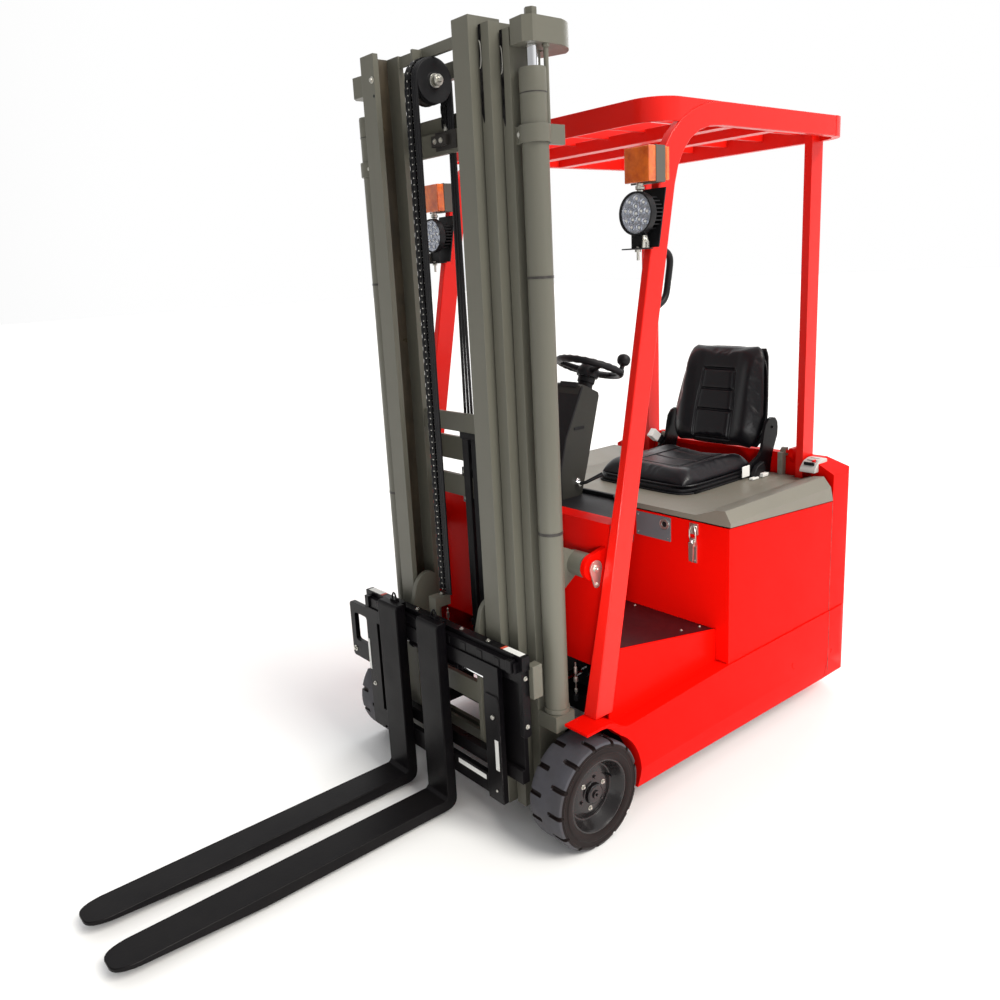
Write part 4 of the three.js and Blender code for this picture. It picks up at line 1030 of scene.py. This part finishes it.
for label, s in SIDES:
    x = s * LAMP_X
    face = leg_front(LAMP_Z) - 70
    m = Mesh()
    m.turn(
        [(0, 0), (0, 44), (5, 52), (10, 58), (12, 59.5), (30, 60), (34, 59.5), (35, 57), (33, 54.5),
        (29, 54), (28, 0)], (x, face + 35, LAMP_Z), FRONT, 64,
    )
    for k in range(-4, 5):
        dz = 10.5 * k
        w = math.sqrt(52 ** 2 - dz ** 2)
        m.box(x - w, x + w, face + 33, face + 60, LAMP_Z + dz - 1.6, LAMP_Z + dz + 1.6)
    m.rod((x, face + 33, LAMP_Z), (x, face + 64, LAMP_Z), 26, 24)
    low, high = LAMP_Z - 94, LAMP_Z + 68
    m.prism(
        [(leg_front(low) - 5, low), (leg_front(low) - 0.5, low), (leg_front(high) - 0.5, high),
        (leg_front(high) - 5, high)], "x", x - 46, x + 46,
    )
    m.box(x - 24, x + 24, face - 30, leg_front(low) - 1, low - 4, low - 0.5)
    m.box(x - 26, x + 26, face + 14, face + 19, low, LAMP_Z - 46)
    m.turn([(0, 0), (0, 9), (7, 9), (7, 0)], (x, face + 12, low - 11), UP, 6, m=1)
    m.rod((x, face + 12, low - 34), (x, face + 12, low + 4), 4, 12, m=1)
    m.prism(
        [(face + 2, low), (face + 30, low), (face + 30, low + 14), (face + 20, low + 34),
        (face + 6, low + 34)], "x", x + s * 22, x + s * 26, m=1,
    )
    m.bolt((x + s * 26, face + 14, low + 22), (s, 0, 0), 8, m=1)
    m.turn([
        (-4, 0), (-4, 8), (4, 8), (4, 12), (12, 12), (12, 9), (16, 9), (16, 0),
    ], (x, face + 22, LAMP_Z + 62), UP, 6, m=1)
    m.done(
        f"lamp_body_{label}", [PLASTIC, ZINC], BODY[f"work_lamp_{label}"], 0.7,
        replace=(f"work_lamp_{label}",),
    )
    # Reflector cups and their clear domes.
    m = Mesh()
    m.turn([(27.5, 0), (27.5, 54), (29.2, 54), (29.4, 40), (29.4, 0)], (x, face + 35, LAMP_Z), FRONT, 48)
    for ring, number, start in ((0, 1, 0), (20, 5, 0.3), (40, 9, 0.1)):
        for k in range(number):
            w = 2 * math.pi * k / number + start
            c = (x + ring * math.cos(w), face + 6.2, LAMP_Z + ring * math.sin(w))
            m.turn([(0, 0), (-2.5, 3), (-1.0, 6.5), (3.0, 9.2), (3.2, 9.8), (0, 9.9)], c, FRONT, 14)
            m.turn([(0.2, 4.2), (2.6, 3.4), (3.6, 0)], c, FRONT, 10, m=1)
    m.done(f"lamp_lens_{label}", [CLEAR, LABEL], BODY[f"work_lamp_{label}"])
    # Turn signal: front lens, housing and rear lens.
    z0, z1 = 1949, 2047
    m = Mesh()
    m.box(x - 45, x + 45, 271, 303, z0 + 2, z1 - 1)
    m.prism([
        (x - 44, 340), (x + 44, 340), (x + 44, 346), (x - 44, 346),
    ], "z", z0 + 5, z1 - 3)
    a, b = sorted((s * 501, s * 529))
    m.box(a, b, 345, 360, z0 + 5, z1 - 3)
    m.done(
        f"signal_lens_{label}", AMBER, BODY[f"turn_signal_{label}"], 9, 4, replace=(f"turn_signal_{label}",),
    )
    m = Mesh()
    m.box(x - 46, x + 46, 302, 341, z0, z1)
    m.box(x - 47, x + 47, 300, 304, z0 - 1, z1 + 1)
    m.turn([
        (0, 0), (0, 9), (6, 9), (6, 13), (14, 13), (14, 10), (24, 10), (24, 0),
    ], (x, face + 24, z0 - 23), UP, 20, m=1)
    m.done(f"signal_housing_{label}", [HOUSING, ZINC], BODY[f"turn_signal_{label}"], 1.6)

# Grab handle behind the left leg.
m = Mesh()
path = []
for k in range(25):
    t = k / 24
    z = 1600 + 170 * t
    out = 52 * (1 - abs(2 * t - 1) ** 6)
    path.append((472, leg_front(z) + 76 + out, z))
m.sweep(path, 10, 12)
for z in (1600, 1770):
    m.turn([(0, 0), (0, 15), (4, 15), (5, 12), (5, 0)], (472, leg_front(z) + 73.5, z), (0, 1, 0), 16)
m.done("grab_handle", PLASTIC, "truck")


# ---------------------------------------------------------------- mast details

for label, s in SIDES:
    # Cylinder bands, guide rod, rod nut and clamp bolts.
    cylinder = (s * 390, -21)
    m = Mesh()
    for z, high in ((1706, 7), (978, 9), (2176, 3)):
        m.lathe([(0, 36.0), (0, 37.0), (high, 37.0), (high, 36.0)], (*cylinder, z), UP, 48)
    m.done(f"cylinder_bands_{label}", IRON, "outer_mast")
    m = Mesh()
    m.lathe(
        [(0, 15.6), (0, 30), (4, 35), (12, 36.5), (70, 36.5), (76, 35.5), (76, 15.6)], (*cylinder, 2163), UP,
        48,
    )
    m.lathe([(0, 36), (0, 39), (14, 39), (14, 36)], (*cylinder, 414), UP, 48)
    m.done(f"cylinder_gland_{label}", GREY, "outer_mast")
    m = Mesh()
    x = s * 414
    m.rod((x, 6, 2102), (x, 6, 2294), 6.5, 14)
    m.turn([(0, 0), (0, 10), (9, 10), (9, 0)], (x, 6, 2286), UP, 6)
    m.done(f"guide_rod_{label}", GREY, "mid_mast", 0.6)
    m = Mesh()
    m.bolt((s * 366, -52, 2078), FRONT, 11)
    for z in (372, 2140, 1160):
        m.bolt((s * 349, 8, z), (s, 0, 0), 10)
    m.done(f"outer_mast_bolts_{label}", ZINC, "outer_mast", 0.6)
    # Roller edges that show in the slots between the rails' front flanges.
    m = Mesh()
    for x, y, z in ((264.5, -70, 2306), (310.5, -40, 2270)):
        m.turn([(-1.5, 0), (-1.5, 31), (1.5, 31), (1.5, 0)], (s * x, y + 12, z), (1, 0, 0), 40)
    m.done(f"slot_rollers_{label}", ZINC, "mid_mast", 0.5)
    # Black sheets on the rails' front faces beside the rollers, at the top of the second and the outer rail:
    # painted shade of the gaps, each with a zinc arc for a roller's edge.
    for body, inside, front, low, high in (
        ("mid_mast", 267.4, -95, 2118, 2361), ("outer_mast", 313.4, -62, 2104, 2341),
    ):
        m = Mesh()
        m.prism(
            [(s * inside, low + 26), (s * (inside + 7), low), (s * (inside + 10), low + 8),
            (s * (inside + 10), high), (s * inside, high)], "y", front - 0.8, front + 0.6,
        )
        arc = [math.pi * (k / 12 - 0.5) for k in range(13)]
        path = [(s * (inside + 1 + 7 * math.cos(w)), front - 1.0, high - 72 + 34 * math.sin(w)) for w in arc]
        m.sweep(path, 1.5, 6, m=1)
        m.done(f"rail_gap_shade_{body}_{label}", [BLACK, ZINC], body)
    # Keeper plate on the mast's pivot pin.
    m = Mesh()
    cx, cy, cz = s * 444, 106, 850
    pts = []
    for (by, bz), r, a0, a1 in (((cy, cz), 25, -12, 192), ((cy + 2, cz - 50), 12, 192, 348)):
        for k in range(13):
            w = math.radians(a0 + (a1 - a0) * k / 12)
            pts.append((by + r * math.cos(w), bz + r * math.sin(w)))
    m.prism(pts, "x", cx, cx + s * 5)
    m.rod((cx + s * 4.8, cy, cz), (cx + s * 9, cy, cz), 11, 20)
    m.bolt((cx + s * 5, cy + 2, cz - 50), (s, 0, 0), 7)
    m.turn([(0, 0), (0, 5), (4, 4), (6, 0)], (cx + s * 9, cy, cz), (s, 0, 0), 12)
    m.done(f"pivot_keeper_{label}", ZINC, "truck", 0.8)

# Bolt near the top of the right inner rail, and below it a black disc on the rail's face: painted shade of a
# hole.
m = Mesh()
m.bolt((-205, -125, 2312), FRONT, 11)
m.turn([(-0.5, 0), (-0.5, 4.5), (0.6, 4.5), (0.6, 0)], (-200, -125, 2266), FRONT, 16, m=1)
m.done("rail_top_bolt", [ZINC, PLASTIC], "inner_mast", 0.3)
# Grease along the inner rails' channels.
for label, s in SIDES:
    m = Mesh()
    a, b = sorted((s * 249.4, s * 250.6))
    m.box(a, b, -104, -36, 110, 2352)
    m.done(f"channel_grease_{label}", GREASY, "inner_mast")

# Hydraulic pipes and fittings beside the right and left masts' feet.
for label, s in SIDES:
    m = Mesh()
    x = s * 336
    m.sweep([(x, 116, z) for z in (505, 470, 430, 390, 372)], 2.6, 8, m=1)
    for z, r, half in ((478, 6, 12), (446, 8, 9), (408, 6, 7), (384, 9, 12)):
        m.turn(
            [(-half, 0), (-half, r - 2), (-half + 2, r), (half - 2, r), (half, r - 2), (half, 0)],
            (x, 116, z), UP, 6, m=1 if z != 384 else 0,
        )
    m.done(f"hydraulic_fitting_{label}", [HOSE, ZINC], "truck", 0.5)


# ---------------------------------------------------------------- carriage and side shifter details

m = Mesh()
for s in (1, -1):
    x0, x1 = sorted((s * 330, s * 404))
    m.box(x0, x1, -176, -153, 645, 646.4, m=1)
    x0, x1 = sorted((s * 318, s * 330))
    m.box(x0, x1, -176, -153, 645, 646.2, m=2)
m.done("bar_labels", [BLACK, LABEL, LABEL_RED], "carriage", 0.4)
m = Mesh()
for x in (-250, -120, 120, 250):
    m.bolt((x, -165, 645), UP, 8)
for s in (1, -1):
    for z in (420, 575):
        m.bolt((s * 413, -165, z), (s, 0, 0), 8)
m.done("carriage_bolts", ZINC, "carriage", 0.5)
# Side-shift cylinder: barrel, end caps and chromed rod.
m = Mesh()
for x0, x1, r, sides, finish in (
    (-138, 112, 15, 28, 0), (-150, -138, 18, 28, 0), (100, 118, 18, 28, 0), (118, 262, 7.5, 20, 1),
    (-262, -150, 7.5, 20, 1),
):
    m.rod((x0, -172, 523), (x1, -172, 523), r, sides, finish)
m.done("shift_cylinder", [BLACK, CHROME], "carriage", 0.8)
m = Mesh()
for k in range(9):
    x = -330 + 80 * k
    m.box(x, x + 26, -199, -196, 598, 624)
for x in (-392, 372):
    m.box(x, x + 22, -204, -184, 596, 636)
m.done("guide_notches", BLACK, "carriage", 1.2)
# Grey stop block behind each end of the carriage.
for label, s in SIDES:
    m = Mesh()
    a, b = sorted((s * 400, s * 432))
    m.box(a, b, -151, -114, 508, 612)
    m.done(f"carriage_stop_{label}", GREY, "carriage", 2.5)
# Blank labels and bolts of the side shifter.
m = Mesh()
m.box(110, 250, -204, -202.4, 190, 206, m=1)
m.box(306, 322, -207.6, -206.2, 250, 352, m=1)
m.box(-396, -384, -204.4, -203, 352, 470, m=1)
m.done("shifter_labels", [BLACK, LABEL], "side_shifter", 0.3)
m = Mesh()
for x, z, size in ((304, 426, 14), (304, 176, 9), (-372, 300, 9), (-488, 402, 12)):
    m.bolt((x, -202.7, z), FRONT, size)
m.done("shifter_bolts", ZINC, "side_shifter", 0.7)
m = Mesh()
for x in (31.5, -193.5):                   # the forks' middles
    m.box(x - 30, x + 30, -205, -181, 640, 664)
    m.prism([(x - 18, 655), (x + 18, 655), (x + 13, 676), (x - 13, 676)], "y", -214, -196)
    arc = [math.pi * k / 12 for k in range(13)]
    m.sweep([(x + 11 * math.cos(w), -206, 676 + 20 * math.sin(w)) for w in arc], 3, 10)
    m.box(x - 50, x + 50, -204, -180, 150, 186)
m.done("fork_latches", BLACK, "side_shifter", 1.6)
m = Mesh()
m.prism([
    (262, 138), (331, 138), (331, 480), (322, 498), (272, 498), (262, 488),
], "y", -206.5, -202)
m.done("shifter_end_bar", BLACK, "side_shifter", 3, 3)


# ---------------------------------------------------------------- steering column and wheel

m = Mesh()
m.prism(
    [(458, 1331), (470, 1334), (546, 1298), (550, 1284), (484, 1050), (437, 902), (420, 898), (350, 916),
    (344, 930), (345, 1050), (380, 1160)], "x", -60, 60,
)
m.prism([
    (456, 1324), (468, 1327), (379, 1158), (350, 1050), (350, 930), (342, 934), (341, 1050), (374, 1164),
], "x", -66, 66, m=1)
m.box(60, 62.5, 420, 470, 1180, 1190, m=1)
m.prism([(452, 1325), (540, 1288), (545, 1300), (500, 1322), (462, 1342)], "x", -40, 40, m=1)
LEAN_UP = Vector((0, 0.38, math.sqrt(1 - 0.38 ** 2)))
HUB = Vector((0, 568, 1380))
m.turn([
    (-112, 0), (-112, 33), (-92, 33), (-90, 28), (-60, 27), (-56, 31), (-38, 31), (-38, 0),
], HUB, LEAN_UP, 40, m=1)
m.done("column_cover", [COLUMN, PLASTIC], "truck", 3, 3, replace=("steering_column",))
m = Mesh()
m.bolt((62, 430, 1000), (1, 0, 0), 10, m=1)
m.rod((60, 428, 990), (76, 428, 990), 9, 20, m=1)
m.sweep([(72, 430, 990), (92, 440, 996), (112, 462, 1010), (128, 486, 1022)], [6, 6, 6.5, 8], 12)
m.done("column_lever", [PLASTIC, CHROME], "truck", 0.8)

# Dash shelf from leg to leg, deeper in the middle, and the open tray on it, round the column.
m = Mesh()
m.prism([(171, 860), (300, 850), (345, 862), (350, 885), (300, 925), (225, 938), (171, 938)], "x", -388, 388)
m.prism([(173, 850), (300, 840), (440, 850), (460, 880), (330, 925), (225, 936), (173, 936)], "x", -150, 150)
m.done("dash_shelf", PLASTIC, "truck", 3, 3, replace=("dash_console",))
m = Mesh()
outer_edge = [
    (-392, 176), (392, 176), (392, 300), (300, 392), (196, 486), (-196, 486), (-300, 392), (-392, 300),
]
inner_edge = [
    (-378, 190), (378, 190), (378, 292), (292, 380), (188, 472), (-188, 472), (-292, 380), (-378, 292),
]
m.prism(outer_edge, "z", 928, 944)
for i in range(8):
    j = (i + 1) % 8
    m.prism([outer_edge[i], outer_edge[j], inner_edge[j], inner_edge[i]], "z", 943, 959)
m.done("dash_tray", PLASTIC, "truck", 3, 3)

SIDE_U = Vector((1, 0, 0))
SIDE_V = LEAN_UP.cross(SIDE_U)


def on_wheel(u, v, w):
    p = HUB + SIDE_U * u + SIDE_V * v + LEAN_UP * w
    return (p.x, p.y, p.z)


m = Mesh()
turns = 96
rings = []
for k in range(turns):
    a = 2 * math.pi * k / turns
    ripple = 0.9 * math.sin(a * 24) * (1 if math.sin(a) < 0.2 else 0)
    ring = []
    for j in range(16):
        b = 2 * math.pi * j / 16
        r = 12.6 + (ripple if math.cos(b) < 0.5 else 0)
        rr = 112 + r * math.cos(b)
        ring.append(m.bm.verts.new(P(*on_wheel(rr * math.cos(a), rr * math.sin(a), r * math.sin(b)))))
    rings.append(ring)
for a, b in zip(rings, rings[1:] + rings[:1]):
    for j in range(16):
        m.bm.faces.new((a[j], a[(j + 1) % 16], b[(j + 1) % 16], b[j]))
for angle in (90, 205, 335):
    w = math.radians(angle)
    spoke = ((20, -12), (44, -11), (72, -6), (103, 0))
    m.sweep([on_wheel(r * math.cos(w), r * math.sin(w), h) for r, h in spoke], [15, 11, 9.5, 9], 14)
m.turn([
    (-36, 0), (-36, 38), (-20, 41), (-4, 36), (2, 30), (8, 28), (8, 0),
], HUB, LEAN_UP, 40)
m.turn([(8, 0), (8, 24), (7, 25), (5, 25)], HUB, LEAN_UP, 32)
knob = Vector(on_wheel(86, 72, 0))
m.turn(
    [(4, 0), (4, 12), (14, 11), (18, 8), (28, 8), (31, 11), (36, 19), (46, 23.5), (58, 23), (66, 18),
    (71, 9), (72, 0)], knob, LEAN_UP, 28,
)
m.done("steering_rim", PLASTIC, "steering_wheel", 0.8, replace=("steering_wheel",))


# ---------------------------------------------------------------- body details

# Toggle latch on the kick panel, and the grey plate with its key switch.
m = Mesh()
m.box(379, 413, 643.5, 650, 818, 856)
m.box(384, 408, 644, 650, 716, 780)
m.prism([(384, 780), (408, 780), (404, 806), (388, 806)], "y", 634, 650)
m.sweep(
    [(386, 640, 792), (383, 638, 812), (384, 638, 832), (390, 639, 846), (396, 640, 850), (402, 639, 846),
    (408, 638, 832), (409, 638, 812), (406, 640, 792)], 2.6, 10,
)
m.prism([(388, 724), (404, 724), (406, 790), (386, 790)], "y", 628, 636)
m.sweep([(396, 636, 800), (396, 634, 790), (396, 633, 770)], 5, 12, m=1)
for x, z in ((387, 848), (405, 848), (390, 724), (402, 724)):
    m.bolt((x, 643.5, z), FRONT, 4, m=1, washer=False)
m.done("hood_latch", [ZINC, CHROME], "truck", 0.9)
m = Mesh()
m.box(140, 295, 646, 650.5, 769, 856)
m.lathe([(0, 10), (0, 20), (4, 20), (5, 17), (4, 11), (-1, 10)], (270, 646, 830), FRONT, 28, m=1)
m.turn([(-2, 0), (1, 0), (1, 10.5), (-2, 10.5)], (270, 646, 830), FRONT, 20, m=2)
for x, z in ((150, 780), (150, 846), (285, 780)):
    m.bolt((x, 646, z), FRONT, 4.5, m=1, washer=False)
m.done("switch_plate", [BLUE_GREY, ZINC, PLASTIC], "truck", 1.2)

# Bolts of the floor mat.
m = Mesh()
for x in (-440, -150, 150, 440):
    for y in (520, 620):
        z = 581 + (y - 165) * (493 - 581) / (650 - 165)
        m.bolt((x, y, z + 0.5), (0, 0.18, 0.98), 6)
m.done("mat_screws", ZINC, "truck", 0.5)

# Pale trim on the hood's rear shoulders, with black boxes in its slots as painted shade.
for label, s in SIDES:
    m = Mesh()
    x0, x1 = sorted((s * 408, s * 474))
    m.prism([(1276, 921), (1366, 921), (1366, 966), (1340, 969), (1306, 961), (1282, 938)], "x", x0, x1)
    for k in range(3):
        y = 1286 + 22 * k
        z = 951 + 6 * k
        m.box(x0 + 12, x1 - 10, y, y + 8, z - 4, z + 9 - 2 * k, m=1)
    m.done(f"shoulder_trim_{label}", [TRIM, PLASTIC], "hood", 4, 3)
# Vertical joint lines of the side panels.
for label, s in SIDES:
    m = Mesh()
    for out, low, high in ((541, 130, 380), (537, 381, 818)):
        a, b = sorted((s * out, s * (out + 0.7)))
        m.box(a, b, 1300.6, 1302.4, low, high)
    m.done(f"panel_joint_{label}", IRON, "truck")


# ---------------------------------------------------------------- floor

floor = bpy.data.meshes.new("floor")
size = 60.0
height = -0.0006                           # just below the tyres
corners = [(-size, -size), (size, -size), (size, size), (-size, size)]
floor.from_pydata([(x, y, height) for x, y in corners], [], [(0, 1, 2, 3)])
floor.materials.append(FLOOR)
new_object("floor", floor)
